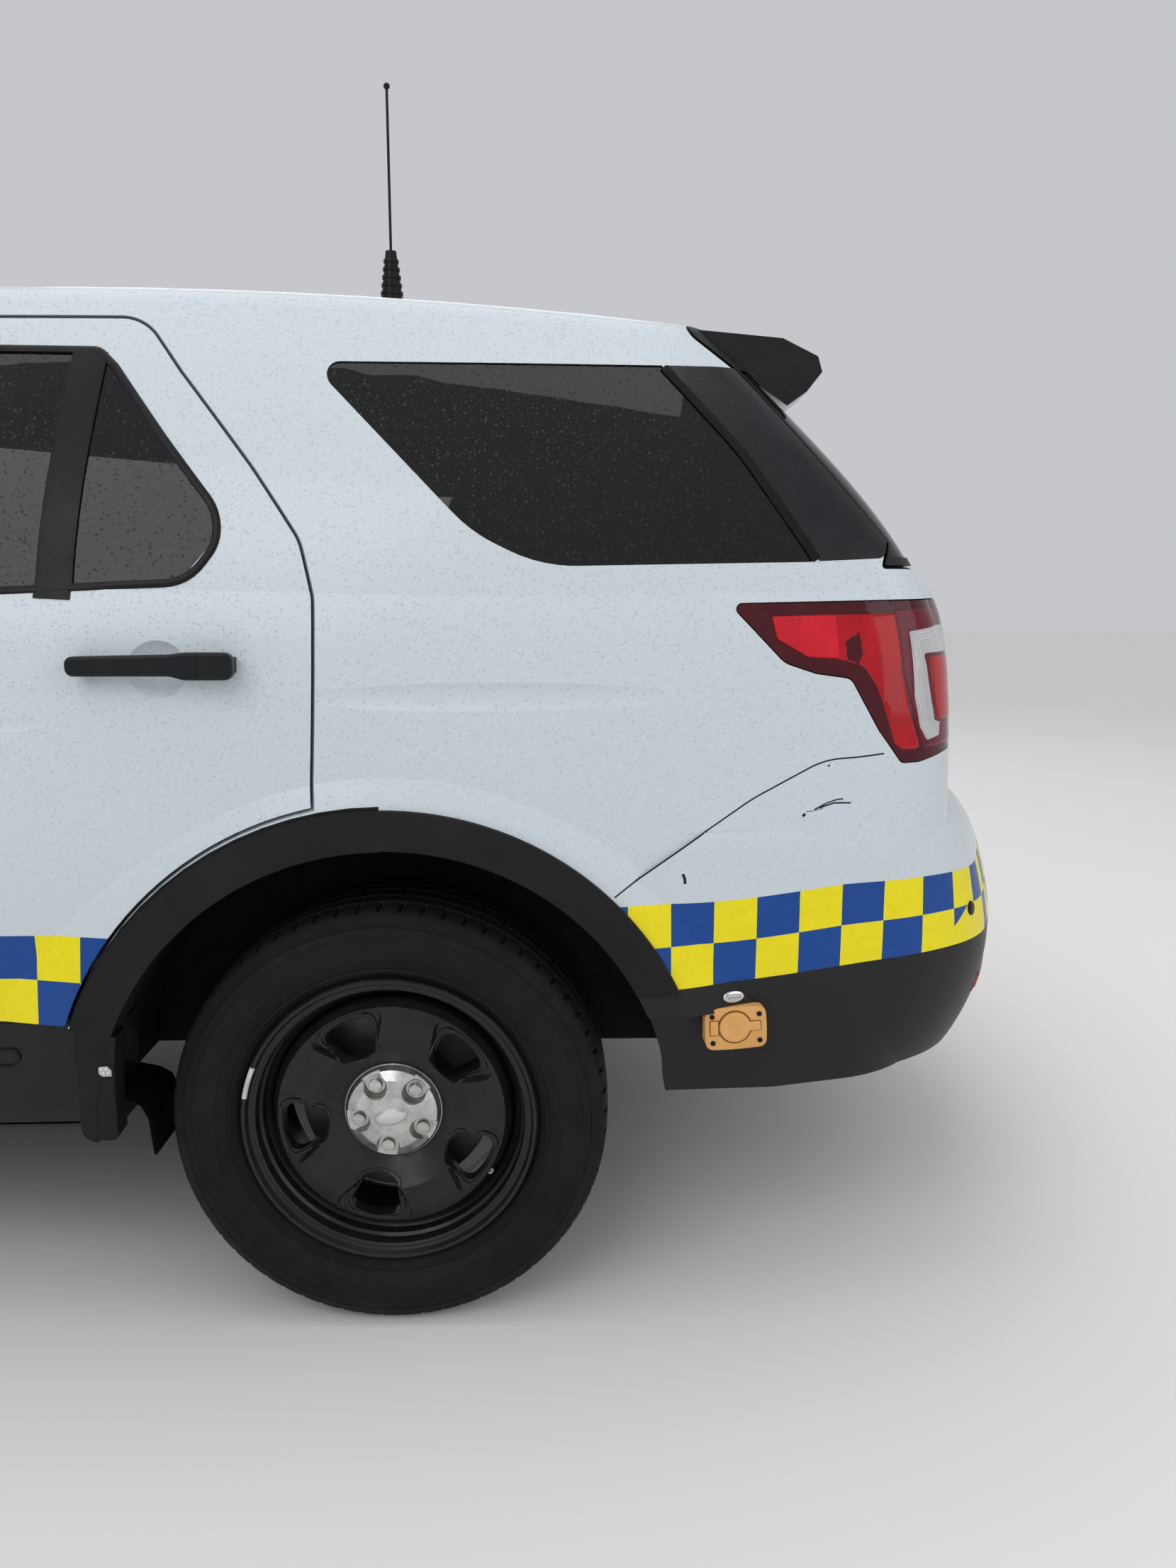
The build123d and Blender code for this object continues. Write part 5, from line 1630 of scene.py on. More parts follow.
        arc = [math.radians(156.5 + 13.0 * i / 10) for i in range(11)]
        path = [here @ Vector((0.2405 * math.cos(t), 0.2405 * math.sin(t), 0.1085)) for t in arc]
        self.fit.both(MeshKit.tube(f"balance_weight_{end}_left", path, 0.0042, 12), self.finish.zinc,
            "wheel_steel", body)

    def _window_lips(self, end: str, axle_x: float) -> None:
        """Raised lip round each window of the wheel's disc.

        Args:
            end: front or rear.
            axle_x: Where the wheel's axis is.
        """
        skin = Skin(self.nodes, [f"rim_{end}_left"])
        for i in range(self.bolts):
            turn = math.radians(self.window_turn_deg + 360.0 * i / self.bolts)
            rows = [(axle_x + r * math.cos(turn) + t * math.sin(turn), self.centre_z - r * math.sin(turn)
                + t * math.cos(turn), bend) for r, t, bend in self.window]
            self.fit.both(Strip(f"window_lip_{i + 1}_{end}_left", Face.SIDE, rows, width=0.0065,
                height=0.0028, sink=0.002, step=0.006).build(skin), self.finish.enamel, "wheel_steel",
                f"{end}_wheel_left")

    def _brake(self, end: str, here: Matrix) -> None:
        """Disc on the hub, and calliper on the upright.

        Args:
            end: front or rear.
            here: The left wheel's frame.
        """
        section = [(0.0625, -0.012), (0.09, -0.012), (0.093, 0.004), (0.164, 0.004), (0.165, 0.003),
            (0.165, -0.005), (0.16, -0.006), (0.16, -0.016), (0.165, -0.017), (0.165, -0.025),
            (0.164, -0.026), (0.093, -0.026), (0.09, -0.024), (0.0625, -0.024)]
        self.fit.both(MeshKit.lathe(f"brake_disc_{end}_left", section, here, 72, True), self.finish.disc,
            "dark_steel", f"{end}_wheel_left")
        outline = []
        for radius, order in ((0.178, range(9)), (0.112, range(8, -1, -1))):
            for i in order:
                t = math.radians(28.0 + 50.0 * i / 8)
                outline.append((radius * math.cos(t), radius * math.sin(t)))
        rider = "front_knuckle_left" if end == "front" else "body"
        for word, low, high in (("outer", 0.0065, 0.026), ("inner", -0.056, -0.0285)):
            self.fit.both(MeshKit.plate(f"calliper_{word}_{end}_left", outline, low, high, here, 0.004),
                self.finish.underseal, "engine_metal", rider)
        bridge = [p for p in outline if math.hypot(*p) > 0.17]
        bridge += [(x * 0.168 / 0.178, y * 0.168 / 0.178) for x, y in reversed(bridge)]
        self.fit.both(MeshKit.plate(f"calliper_bridge_{end}_left", bridge, -0.05, 0.022, here, 0.002),
            self.finish.underseal, "engine_metal", rider)
        arm = Shape2.rounded([(0.02, 0.03, 0.008), (0.07, 0.02, 0.008), (0.125, 0.075, 0.01),
            (0.085, 0.12, 0.01), (0.02, 0.09, 0.008)])
        self.fit.both(MeshKit.plate(f"calliper_bracket_{end}_left", arm, -0.085, -0.05, here, 0.003),
            self.finish.underseal, "engine_metal", rider)


@dataclass
class TailLampDress:
    """Reflector, red chamber, plum band and clear light guide of the tail lamps."""

    fit: Fitter
    finish: Finishes
    skin: Skin
    # columns: degrees round the corner, height, corner radius
    bright: tuple = ((37.6, 1.1915, 0.002), (48.6, 1.1925, 0.003), (48.4, 1.1, 0.0), (49.6, 1.03, 0.0),
        (51.4, 0.976, 0.008), (47.9, 0.9755, 0.008), (46.6, 0.986, 0.01), (45.2, 1.04, 0.0),
        (44.0, 1.082, 0.02), (42.3, 1.1115, 0.02), (37.6, 1.1235, 0.004))
    wedge: tuple = ((39.6, 1.15, 0.002), (42.4, 1.1657, 0.002), (42.5, 1.1286, 0.002), (41.6, 1.113, 0.002),
        (39.6, 1.1215, 0.002))
    reflector: tuple = ((26.3, 1.189, 0.004), (39.0, 1.192, 0.004), (38.6, 1.122, 0.006),
        (33.0, 1.1245, 0.015), (26.9, 1.154, 0.008))
    plum: tuple = ((48.9, 1.2, 0.003), (68.0, 1.2, 0.003), (68.0, 0.985, 0.004), (52.3, 0.976, 0.004),
        (50.3, 1.025, 0.0), (48.8, 1.095, 0.0))
    guide: tuple = ((50.7, 1.165, 0.006), (59.0, 1.174, 0.0), (67.0, 1.174, 0.005), (67.0, 1.129, 0.005),
        (59.0, 1.129, 0.0), (53.6, 1.128, 0.004), (54.0, 1.085, 0.0), (55.2, 1.02, 0.0),
        (57.0, 1.016, 0.002), (56.6, 0.993, 0.006), (52.9, 0.987, 0.006), (51.3, 1.01, 0.0),
        (50.4, 1.06, 0.0))
    heart: tuple = ((54.9, 1.123, 0.003), (66.5, 1.123, 0.004), (66.5, 1.02, 0.004), (57.0, 1.02, 0.004),
        (56.1, 1.024, 0.003), (55.0, 1.085, 0.0))

    def build(self) -> None:
        """Make the lamps' pieces."""
        f = self.finish
        for name, outline, lift, finish in (("lamp_plum_left", self.plum, 0.0008, f.lamp_plum),
                ("lamp_chamber_left", self.bright, 0.0014, f.lamp_red), ("lamp_wedge_left", self.wedge,
                0.002, f.lamp_dark_red), ("lamp_reflector_left", self.reflector, 0.0024, f.lamp_bright),
                ("lamp_guide_left", self.guide, 0.002, f.lamp_clear), ("lamp_heart_left", self.heart,
                0.0018, f.lamp_red)):
            self.fit.both(Panel(name, Face.REAR_CORNER, list(outline), lift=lift, bevel=0.0012, sink=0.002,
                step=0.008, relax=1).build(self.skin), finish, "lamp_red")
        self.fit.both(Strip("lamp_reflector_rim_left", Face.REAR_CORNER, list(self.reflector), width=0.0035,
            height=0.0022, sink=0.001, outward=-0.0016, step=0.012).build(self.skin), f.lamp_red,
            "lamp_red")
        for i, gap in enumerate((0.0045, 0.0085, 0.0125)):
            line = [(66.0, 1.174 - gap, 0.0), (59.0, 1.1735 - gap, 0.0), (50.9 + gap * 120, 1.164 - gap,
                0.008), (50.6 + gap * 120, 1.06, 0.03), (51.4 + gap * 120, 1.012, 0.02), (52.9 + gap * 120,
                0.99 + gap, 0.0)]
            self.fit.both(Strip(f"lamp_guide_line_{i + 1}_left", Face.REAR_CORNER, line, closed=False,
                width=0.0016, height=0.003, sink=0.001, step=0.012).build(self.skin), f.lamp_white,
                "lamp_clear")
        for i in range(3):
            spot = seat_on(self.skin, Face.REAR_CORNER, 30.4 + 1.6 * i, 1.1795)
            self.fit.both(MeshKit.plate(f"lamp_facet_{i + 1}_left", Shape2.box(0.0075, 0.0075, 0.0015),
                -0.001, 0.0022, spot, 0.0006), f.lamp_dark_red, "lamp_red")


@dataclass
class BumperDetails:
    """Power inlet, oval lamp, sensors, reflectors and scuffs of the rear bumper."""

    fit: Fitter
    finish: Finishes
    skin: Skin
    inlet_x: float = 1.8762
    inlet_z: float = 0.5145
    inlet_turn_deg: float = 3.0
    inlet_width: float = 0.101
    inlet_height: float = 0.07
    screw_x: float = 0.0395
    screw_z: float = 0.0228

    def build(self) -> None:
        """Make the bumper's small pieces."""
        self._inlet()
        self._lamp()
        self._sensors()
        self._reflectors()
        self._scuffs()

    def _inlet(self) -> None:
        """Cover plate, flap, hinge, latch and screws of the power inlet."""
        f = self.finish
        spot = frame_at(Vector((self.inlet_x, -0.928, self.inlet_z)), Vector((0.0645, -0.998, 0.0)),
            self.inlet_turn_deg)
        w, h = self.inlet_width / 2, self.inlet_height / 2
        outline = []
        for x, y in Shape2.resample(Shape2.box(2 * w, 2 * h, 0.013), 0.006, True):
            outline.append((x * (1 + 0.03 * (1 - (y / h) ** 2)), y * (1 + 0.05 * (1 - (x / w) ** 2))))
        base = MeshKit.plate("inlet_plate", outline, -0.03, 0.0085, spot, 0.0022)
        self.fit.put(base, f.orange, "inlet_orange")
        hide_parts("power_inlet")
        ring = [(0.0262, 0.008), (0.0262, 0.0094), (0.0272, 0.0097), (0.0284, 0.0094), (0.0284, 0.008)]
        at = spot @ placed((-0.002, 0.003, 0.0))
        self.fit.put(MeshKit.lathe("inlet_groove", ring, at, 64, True), f.orange_dark, "inlet_orange")
        flap = [(0.0, 0.008), (0.0256, 0.008), (0.0256, 0.0112), (0.025, 0.012), (0.02, 0.0128),
            (0.019, 0.0122), (0.018, 0.0122), (0.0, 0.0122)]
        self.fit.put(MeshKit.lathe("inlet_flap", flap, at, 64), f.orange, "inlet_orange")
        for i, (width, y) in enumerate(((0.014, 0.0115), (0.022, 0.0058), (0.024, 0.0), (0.022, -0.0058),
                (0.014, -0.0115))):
            self.fit.put(MeshKit.plate(f"inlet_rib_{i + 1}", Shape2.box(width, 0.0022, 0.0009), 0.0118,
                0.013, at @ placed((0.0, y, 0.0)), 0.0004), f.orange, "inlet_orange")
        for name, x, width, height, top in (("hinge", -0.0345, 0.013, 0.024, 0.011), ("latch", 0.033, 0.02,
                0.015, 0.0118)):
            self.fit.put(MeshKit.plate(f"inlet_{name}_slot", Shape2.box(width + 0.003, height + 0.003,
                0.002), 0.006, 0.0089, at @ placed((x, 0.0, 0.0)), 0.0003), f.orange_dark, "inlet_orange")
            self.fit.put(MeshKit.plate(f"inlet_{name}", Shape2.box(width, height, 0.002), 0.006, top,
                at @ placed((x, 0.0, 0.0)), 0.001), f.orange, "inlet_orange")
        screw = [(0.0, 0.008), (0.0043, 0.008), (0.0043, 0.0098), (0.0034, 0.0104), (0.0024, 0.0105),
            (0.0018, 0.0096), (0.0, 0.0096)]
        count = 0
        for x in (-self.screw_x, self.screw_x):
            for y in (-self.screw_z, self.screw_z):
                count += 1
                self.fit.put(MeshKit.lathe(f"inlet_screw_{count}", screw, spot @ placed((x, y, 0.0)), 20),
                    f.scuff, "dark_steel")

    def _lamp(self) -> None:
        """Small chromed oval lamp above the inlet."""
        spot = seat_on(self.skin, Face.SIDE, 1.872, 0.5665)
        self.fit.put(MeshKit.plate("oval_lamp_bezel", Shape2.ellipse(0.039, 0.021, 48), -0.004, 0.0045,
            spot, 0.0028), self.finish.chrome, "wheel_steel")
        self.fit.put(MeshKit.plate("oval_lamp_lens", Shape2.ellipse(0.028, 0.0125, 40), 0.0, 0.0078, spot,
            0.0042), self.finish.lamp_clear, "lamp_clear")

    def _sensors(self) -> None:
        """Round parking sensors across the bumper."""
        disc = [(0.0, -0.002), (0.0125, -0.002), (0.0125, 0.0008), (0.0118, 0.0016), (0.0105, 0.0012),
            (0.0098, 0.0018), (0.0, 0.0024)]
        for i, (face, a, z) in enumerate(((Face.REAR_CORNER, 63.6, 0.687), (Face.TAIL, -0.33, 0.7))):
            self.fit.both(MeshKit.lathe(f"sensor_{i + 1}_left", disc, seat_on(self.skin, face, a, z), 28),
                self.finish.trim_black)

    def _reflectors(self) -> None:
        """Red reflectors in the lower bumper."""
        outline = [(-0.76, 0.52, 0.006), (-0.64, 0.52, 0.006), (-0.64, 0.548, 0.006), (-0.76, 0.548, 0.006)]
        for name, grow, lift, finish in (("reflector_frame_left", 0.006, 0.0015, self.finish.trim_black),
                ("reflector_left", 0.0, 0.0032, self.finish.lamp_bright)):
            rows = [(a + (grow if a > -0.7 else -grow), b + (grow if b > 0.53 else -grow), r) for a, b,
                r in outline]
            self.fit.both(Panel(name, Face.TAIL, rows, lift=lift, bevel=0.0015).build(self.skin), finish,
                "lamp_red")

    def _scuffs(self) -> None:
        """Rubbed marks on the bumper's left end, as thin films."""
        marks = (("scuff_1", [(1.9985, 0.88, 0.0), (2.018, 0.8905, 0.01), (2.035, 0.896, 0.01),
            (2.045, 0.8972, 0.0)], 0.0022), ("scuff_2", [(2.006, 0.8828, 0.0), (2.03, 0.8905, 0.01),
            (2.058, 0.8902, 0.0)], 0.0026), ("scuff_3", [(1.985, 0.8768, 0.0), (1.996, 0.8778, 0.002),
            (2.012, 0.8822, 0.0)], 0.001), ("scuff_4", [(1.979, 0.869, 0.0), (1.9815, 0.871, 0.001),
            (1.983, 0.8735, 0.0)], 0.0044), ("scuff_5", [(1.785, 0.7775, 0.0), (1.788, 0.77, 0.003),
            (1.789, 0.761, 0.0)], 0.0046), ("scuff_6", [(2.018, 0.9505, 0.0), (2.02, 0.9515, 0.001),
            (2.0215, 0.9525, 0.0)], 0.0024))
        for name, path, width in marks:
            self.fit.put(Strip(name, Face.SIDE, path, closed=False, width=width, height=0.0003, sink=0.0004,
                step=0.004).build(self.skin), self.finish.scuff)


@dataclass
class SideTrim:
    """Window mouldings, divider bars, arch trims' rear halves, seams, mud flaps and the fuel flap."""

    fit: Fitter
    finish: Finishes
    nodes: dict
    # columns in millimetres: place along the car, height, corner radius
    rear_glass: tuple = ((195, 1211, 30), (1009, 1247, 90), (1052, 1305, 90), (1047, 1353, 90),
        (955, 1467, 90), (864, 1585, 30), (835, 1612, 20), (195, 1620, 30))
    axle_x: float = REAR_AXLE_X
    axle_z: float = AXLE_Z
    arch_radius: float = 0.462
    trim_radius: float = 0.527
    trim_face: float = 0.984
    trim_depth: float = 0.062
    arch_turn_deg: float = 2.34
    trim_end_z: float = 0.581
    seam_radius: float = 0.529
    quarter_gap: tuple = ((1762, 1599, 0), (1883, 1456, 500), (2000, 1278, 0))
    front_glass: tuple = ((-828, 1158, 20), (85, 1206, 30), (85, 1622, 30), (-208, 1614, 60))

    def build(self) -> None:
        """Make the side's pieces."""
        f = self.finish
        for door, outline in (("rear_door", self.rear_glass), ("front_door", self.front_glass)):
            skin = Skin(self.nodes, [f"{door}_left"])
            self.fit.both(Strip(f"{door}_moulding_left", Face.SIDE, metres(outline), width=0.013,
                height=0.0022, sink=0.004, outward=0.0045).build(skin), f.trim_black, body=f"{door}_left")
        skin = Skin(self.nodes, ["rear_door_left"])
        self.fit.both(Strip("divider_bar_left", Face.SIDE, metres([(806, 1217, 0), (825, 1613, 0)]),
            closed=False, width=0.0565, height=0.0018, sink=0.034).build(skin), f.trim_black,
            body="rear_door_left")
        self.fit.both(Strip("sill_pocket_left", Face.SIDE, metres([(560, 462, 8), (690, 462, 12),
            (704, 476, 8), (698, 492, 6), (560, 492, 8)]), width=0.005, height=0.003, step=0.02).build(
            skin), f.black, body="rear_door_left")
        self.fit.both(Strip("bumper_seam_left", Face.SIDE, metres([(1674, 743.6, 0), (1896, 899, 300),
            (2012, 961, 160), (2070, 965, 0), (2110, 970, 0)]), closed=False, width=0.0024, height=0.0004,
            sink=0.001, step=0.012).build(Skin(self.nodes, ["body_shell", "rear_bumper"])), f.seal)
        self.fit.both(Strip("handle_seam_left", Face.SIDE, metres([(1041, 1095, 0), (1041, 1141, 0)]),
            closed=False, width=0.0022, height=0.0003, sink=0.001, step=0.006).build(Skin(self.nodes,
            ["rear_door_handle_left"])), f.seal, body="rear_door_left")
        rim = []
        for i in range(15):
            t = math.radians(90.0 + 5.0 * i)
            rim.append((self.axle_x + self.seam_radius * math.cos(t), self.axle_z + self.seam_radius
                * math.sin(t), 0.0))
        self.fit.both(Strip("arch_seam_left", Face.SIDE, rim, closed=False, width=0.007, height=0.0005,
            sink=0.002, step=0.012).build(Skin(self.nodes, ["body_shell"])), f.seal)
        self._arch_tail()
        self._quarter_seams()
        self._legs()
        self._fuel_flap()

    def _arch_tail(self) -> None:
        """Rear half of the rear arch's trim, from its top down to the bumper's seam."""
        turn = placed((self.axle_x, -self.trim_face, self.axle_z)) @ turned(self.arch_turn_deg)
        section = ((self.arch_radius, self.trim_depth), (self.arch_radius, 0.003),
            (self.arch_radius + 0.0008, 0.0008), (self.arch_radius + 0.003, 0.0),
            (self.trim_radius - 0.003, 0.0), (self.trim_radius - 0.0008, 0.0008), (self.trim_radius, 0.003),
            (self.trim_radius, self.trim_depth))
        rows = []
        for i in range(73):
            row = []
            for radius, depth in section:
                low = math.asin((self.trim_end_z - self.axle_z) / radius)
                t = math.pi / 2 + (low - math.pi / 2) * i / 72
                row.append(turn @ Vector((radius * math.cos(t), depth, radius * math.sin(t))))
            rows.append(row)
        self.fit.both(MeshKit.loops("arch_trim_tail_left", rows, sharp_deg=50.0), self.finish.black)

    def _quarter_seams(self) -> None:
        """Dark seals between the quarter glass, the pillar trim and the tailgate's glass."""
        skin = Skin(self.nodes, ["body_shell", "quarter_glasses", "pillar_trims"])
        self.fit.both(Strip("quarter_seal_left", Face.SIDE, metres(self.quarter_gap), closed=False,
            width=0.015, height=0.0012, sink=0.004, step=0.02).build(skin), self.finish.seal)

    def _legs(self) -> None:
        """Lip on the arch's front leg, its marker lamp and the mud flap behind it."""
        f = self.finish
        tilt = placed((0.84, -1.0025, 0.0)) @ turned(self.arch_turn_deg)
        rows = [(-0.002, 0.3545, 0.0), (0.034, 0.3545, 0.012), (0.0335, 0.43, 0.05), (0.0345, 0.48, 0.05),
            (0.04, 0.53, 0.0), (0.023, 0.53, 0.0), (0.008, 0.47, 0.0), (-0.002, 0.4, 0.0)]
        self.fit.both(MeshKit.plate("arch_leg_lip_left", Shape2.rounded(rows), -0.045, 0.0, tilt @ UPRIGHT,
            0.002), f.black)
        spot = frame_at(Vector((0.861, -1.0016, 0.474)), Vector((0.0408, -0.9992, 0.0)))
        self.fit.both(MeshKit.plate("marker_bezel_left", Shape2.ellipse(0.027, 0.023, 20), -0.003, 0.0024,
            spot, 0.001), f.scuff)
        outline = Shape2.rounded([(-0.01, -0.004, 0.002), (-0.004, -0.0085, 0.002), (0.01, -0.0085, 0.002),
            (0.01, 0.001, 0.002), (0.004, 0.0085, 0.002), (-0.01, 0.0075, 0.002)])
        self.fit.both(MeshKit.plate("marker_lens_left", outline, 0.0, 0.004, spot, 0.0012), f.lamp_clear,
            "lamp_clear")
        for i, (x, y) in enumerate(((-0.005, 0.003), (0.002, 0.003), (-0.002, -0.003), (0.005, -0.003))):
            dome = [(0.0, 0.0035), (0.0026, 0.0035), (0.0024, 0.0046), (0.0014, 0.0053), (0.0, 0.0056)]
            self.fit.both(MeshKit.lathe(f"marker_dome_{i + 1}_left", dome, spot @ placed((x, y, 0.0)), 12),
                f.chrome, "lamp_clear")
        line = [(0.838, 0.404), (0.872, 0.397), (0.892, 0.385), (0.903, 0.362), (0.905, 0.335),
            (0.909, 0.3)]
        loops = []
        for y in (-0.945, -0.94, -0.87, -0.8):
            back = 0.002 if y < -0.944 else 0.0
            loops.append([Vector((x - 0.0025 + back, y, z + back)) for x, z in line]
                + [Vector((x + 0.0025 - back, y, z + back)) for x, z in reversed(line)])
        self.fit.both(MeshKit.loops("mud_flap_left", loops, sharp_deg=60.0), f.seal, "tyre_rubber")

    def _fuel_flap(self) -> None:
        """Fuel flap on the right quarter, with its seam."""
        skin = Skin(self.nodes, ["body_shell"])
        rows = metres([(1640, 900, 20), (1780, 900, 20), (1780, 1030, 20), (1640, 1030, 20)])
        seam = Strip("fuel_flap_seam", Face.SIDE, rows, width=0.004, height=0.0003, sink=0.001)
        flap = Panel("fuel_flap", Face.SIDE, metres([(1643, 903, 18), (1777, 903, 18), (1777, 1027, 18),
            (1643, 1027, 18)]), bevel=0.0015, sink=0.002, step=0.03)
        for piece, finish in ((seam.build(skin), self.finish.seal), (flap.build(skin), self.finish.paint)):
            piece.data.transform(Matrix.Scale(-1.0, 4, (0.0, 1.0, 0.0)))
            piece.data.flip_normals()
            self.fit.put(piece, finish, "white_paint")


@dataclass
class FrontEnd:
    """Headlamp insides, grille slats, wing corners, screen seal, wipers, cowl and mirror glass."""

    fit: Fitter
    finish: Finishes
    nodes: dict
    screen_foot_x: float = -0.899
    screen_slope: float = 0.68
    cowl_x: float = -1.132
    hood_end_x: float = -1.2145
    cowl_gap: float = 0.008
    screen_half: float = 0.744
    cover_half: float = 0.8125
    ribs_half: float = 0.6
    ribs: int = 14
    cover_top: float = 0.0062
    # columns: place along the car, inner edge and its height, outer edge and its height, underside
    brow_rows: tuple = ((-2.03, 0.84, 0.978, 0.88, 0.962, 0.925),
        (-2.06, 0.829, 0.972, 0.882, 0.948, 0.922), (-2.1, 0.811, 0.966, 0.884, 0.938, 0.922),
        (-2.14, 0.798, 0.958, 0.884, 0.936, 0.926), (-2.18, 0.79, 0.948, 0.88, 0.929, 0.92),
        (-2.22, 0.779, 0.938, 0.86, 0.922, 0.913), (-2.26, 0.76, 0.929, 0.84, 0.915, 0.906),
        (-2.3, 0.722, 0.922, 0.8, 0.91, 0.902), (-2.335, 0.68, 0.916, 0.735, 0.909, 0.902))
    # columns: distance from the middle, height
    screen_heights: tuple = ((0.0, 1.343), (0.3, 1.33), (0.5, 1.306), (0.62, 1.287), (0.74, 1.264),
        (0.76, 1.262), (0.8, 1.254), (0.84, 1.24), (0.86, 1.226), (0.875, 1.205))
    shelf_heights: tuple = ((0.0, 1.172), (0.3, 1.16), (0.5, 1.14), (0.62, 1.122), (0.68, 1.112),
        (0.76, 1.098), (0.815, 1.0865), (0.875, 1.0745))

    def build(self) -> None:
        """Make the front's pieces."""
        self._headlamps()
        self._grilles()
        self._screen()
        self._cowl()
        self._brows()
        self._mirrors()

    def _brows(self) -> None:
        """Corners of the wings that run from the bonnet's edge down to the headlamps' tops."""
        rows = []
        for x, inner, high, outer, brow, low in self.brow_rows:
            rows.append([Vector((x, -inner, high)), Vector((x, -inner * 0.5 - outer * 0.5,
                high * 0.45 + brow * 0.55 + 0.004)), Vector((x, -outer, brow)), Vector((x, -outer, low)),
                Vector((x, -inner, low))])
        self.fit.both(MeshKit.loops("wing_corner_left", rows, sharp_deg=50.0), self.finish.paint,
            "white_paint")

    @staticmethod
    def _height(table: tuple, y: float) -> float:
        """Height read off a table, with straight lines between its rows.

        Args:
            table: Rows of distance from the middle and height.
            y: Place across the car.

        Returns:
            The height.
        """
        y = min(abs(y), table[-1][0])
        for (y0, z0), (y1, z1) in zip(table, table[1:]):
            if y <= y1:
                return z0 + (z1 - z0) * (y - y0) / (y1 - y0)
        return table[-1][1]

    def _wedge(self, name: str, ys: list[float], gap: float, end_x: float) -> Piece:
        """Carry the screen's slope on downwards until it meets the cowl.

        Args:
            name: The object's name.
            ys: Distances across the car of the wedge's columns.
            gap: Clearance above the cowl and the doors' shoulders.
            end_x: Where the wedge runs out.

        Returns:
            The closed wedge.
        """
        rows = []
        for i in range(13):
            x = self.screen_foot_x + (end_x - self.screen_foot_x) * i / 12
            top, under = [], []
            for y in ys:
                z = self._height(self.screen_heights, y)
                floor = self._height(self.shelf_heights, y) + gap
                z += self.screen_slope * (x - self.screen_foot_x)
                z = max(z, floor + 0.002)
                top.append(Vector((x, y, z)))
                under.append(Vector((x, y, floor)))
            rows.append(top + under[::-1])
        return MeshKit.loops(name, rows, sharp_deg=40.0)

    def _cowl(self) -> None:
        """Dark foot of the screen, the feet of the front pillars and the cowl's cover."""
        f = self.finish
        across = [-self.screen_half + 2 * self.screen_half * i / 40 for i in range(41)]
        self.fit.put(self._wedge("screen_foot", across, self.cowl_gap, self.cowl_x), f.gloss_black,
            "gloss_black")
        columns = [-0.7455, -0.76, -0.775, -0.79, -0.805, -0.82, -0.835, -0.848, -0.858, -0.866]
        self.fit.both(self._wedge("pillar_foot_left", columns, self.cowl_gap, self.cowl_x + 0.012), f.paint,
            "white_paint")
        rows = []
        for i in range(49):
            y = -self.cover_half + 2 * self.cover_half * i / 48
            z = self._height(self.shelf_heights, y)
            rows.append([Vector((x, y, z + h)) for x, h in ((self.hood_end_x, 0.001),
                (self.hood_end_x, 0.005), (self.hood_end_x + 0.02, 0.006), (-1.14, self.cover_top),
                (-1.1, self.cover_top), (-1.095, 0.001))])
        self.fit.put(MeshKit.loops("cowl_cover", rows, sharp_deg=40.0), f.black)
        for k in range(self.ribs):
            y = -self.ribs_half + 2 * self.ribs_half * k / (self.ribs - 1)
            z = self._height(self.shelf_heights, y) + self.cover_top
            path = [Vector((self.hood_end_x + 0.022, y, z)), Vector((-1.165, y, z + 0.0015)),
                Vector((-1.145, y, z))]
            self.fit.put(MeshKit.tube(f"cowl_rib_{k:02d}", path, 0.003, 8), f.seal)

    def _headlamps(self) -> None:
        """Dark bezel, light strip and projector lenses."""
        f = self.finish
        skin = Skin(self.nodes, ["headlamps"])
        self.fit.both(Panel("headlamp_bezel_left", Face.FRONT_CORNER, [(38.0, 0.884, 0.006),
            (60.0, 0.89, 0.0), (86.0, 0.892, 0.006), (86.0, 0.828, 0.006), (62.0, 0.826, 0.01),
            (48.0, 0.852, 0.01)], lift=0.001).build(skin), f.lamp_bezel, "lamp_clear")
        self.fit.both(Strip("headlamp_strip_left", Face.FRONT_CORNER, [(42.0, 0.879, 0.0),
            (60.0, 0.884, 0.0), (84.0, 0.886, 0.0)], closed=False, width=0.006, height=0.0035, sink=0.001,
            step=0.02).build(skin), f.lamp_white, "lamp_clear")
        for i, (a, radius) in enumerate(((80.0, 0.021), (68.0, 0.021), (56.0, 0.016))):
            lens = [(radius * 1.12, -0.004), (radius * 1.12, 0.0022), (radius * 1.02, 0.0034),
                (radius, 0.0024), (radius * 0.94, 0.0028), (radius * 0.8, 0.0052), (radius * 0.5, 0.008),
                (0.0, 0.0094)]
            self.fit.both(MeshKit.lathe(f"headlamp_lens_{i + 1}_left", lens, seat_on(skin,
                Face.FRONT_CORNER, a, 0.856), 36), f.lamp_white, "lamp_clear")
        self.fit.both(Panel("side_marker_left", Face.FRONT_CORNER, [(40.0, 0.742, 0.004),
            (50.0, 0.742, 0.004), (50.0, 0.764, 0.004), (40.0, 0.764, 0.004)], lift=0.003).build(
            Skin(self.nodes, ["front_bumper"])), f.amber, "lamp_clear")

    def _grilles(self) -> None:
        """Upright slats between the grille's bars."""
        skin = Skin(self.nodes, ["grilles"])
        count = 0
        for i in range(17):
            y = -0.512 + 0.064 * i
            for low, high in ((0.66, 0.686), (0.738, 0.764), (0.816, 0.842)):
                spots = [skin.hit(Face.NOSE, y, z)[0] for z in (low - 0.006, high + 0.006)]
                x = max(p.x for p in spots)
                count += 1
                frame = placed((x + 0.004, y, (low + high) / 2)) @ turned(-90, "Y")
                self.fit.put(MeshKit.plate(f"grille_slat_{count}", Shape2.box(high - low + 0.012, 0.01,
                    0.002), -0.02, 0.0, frame, 0.002), self.finish.trim_black)

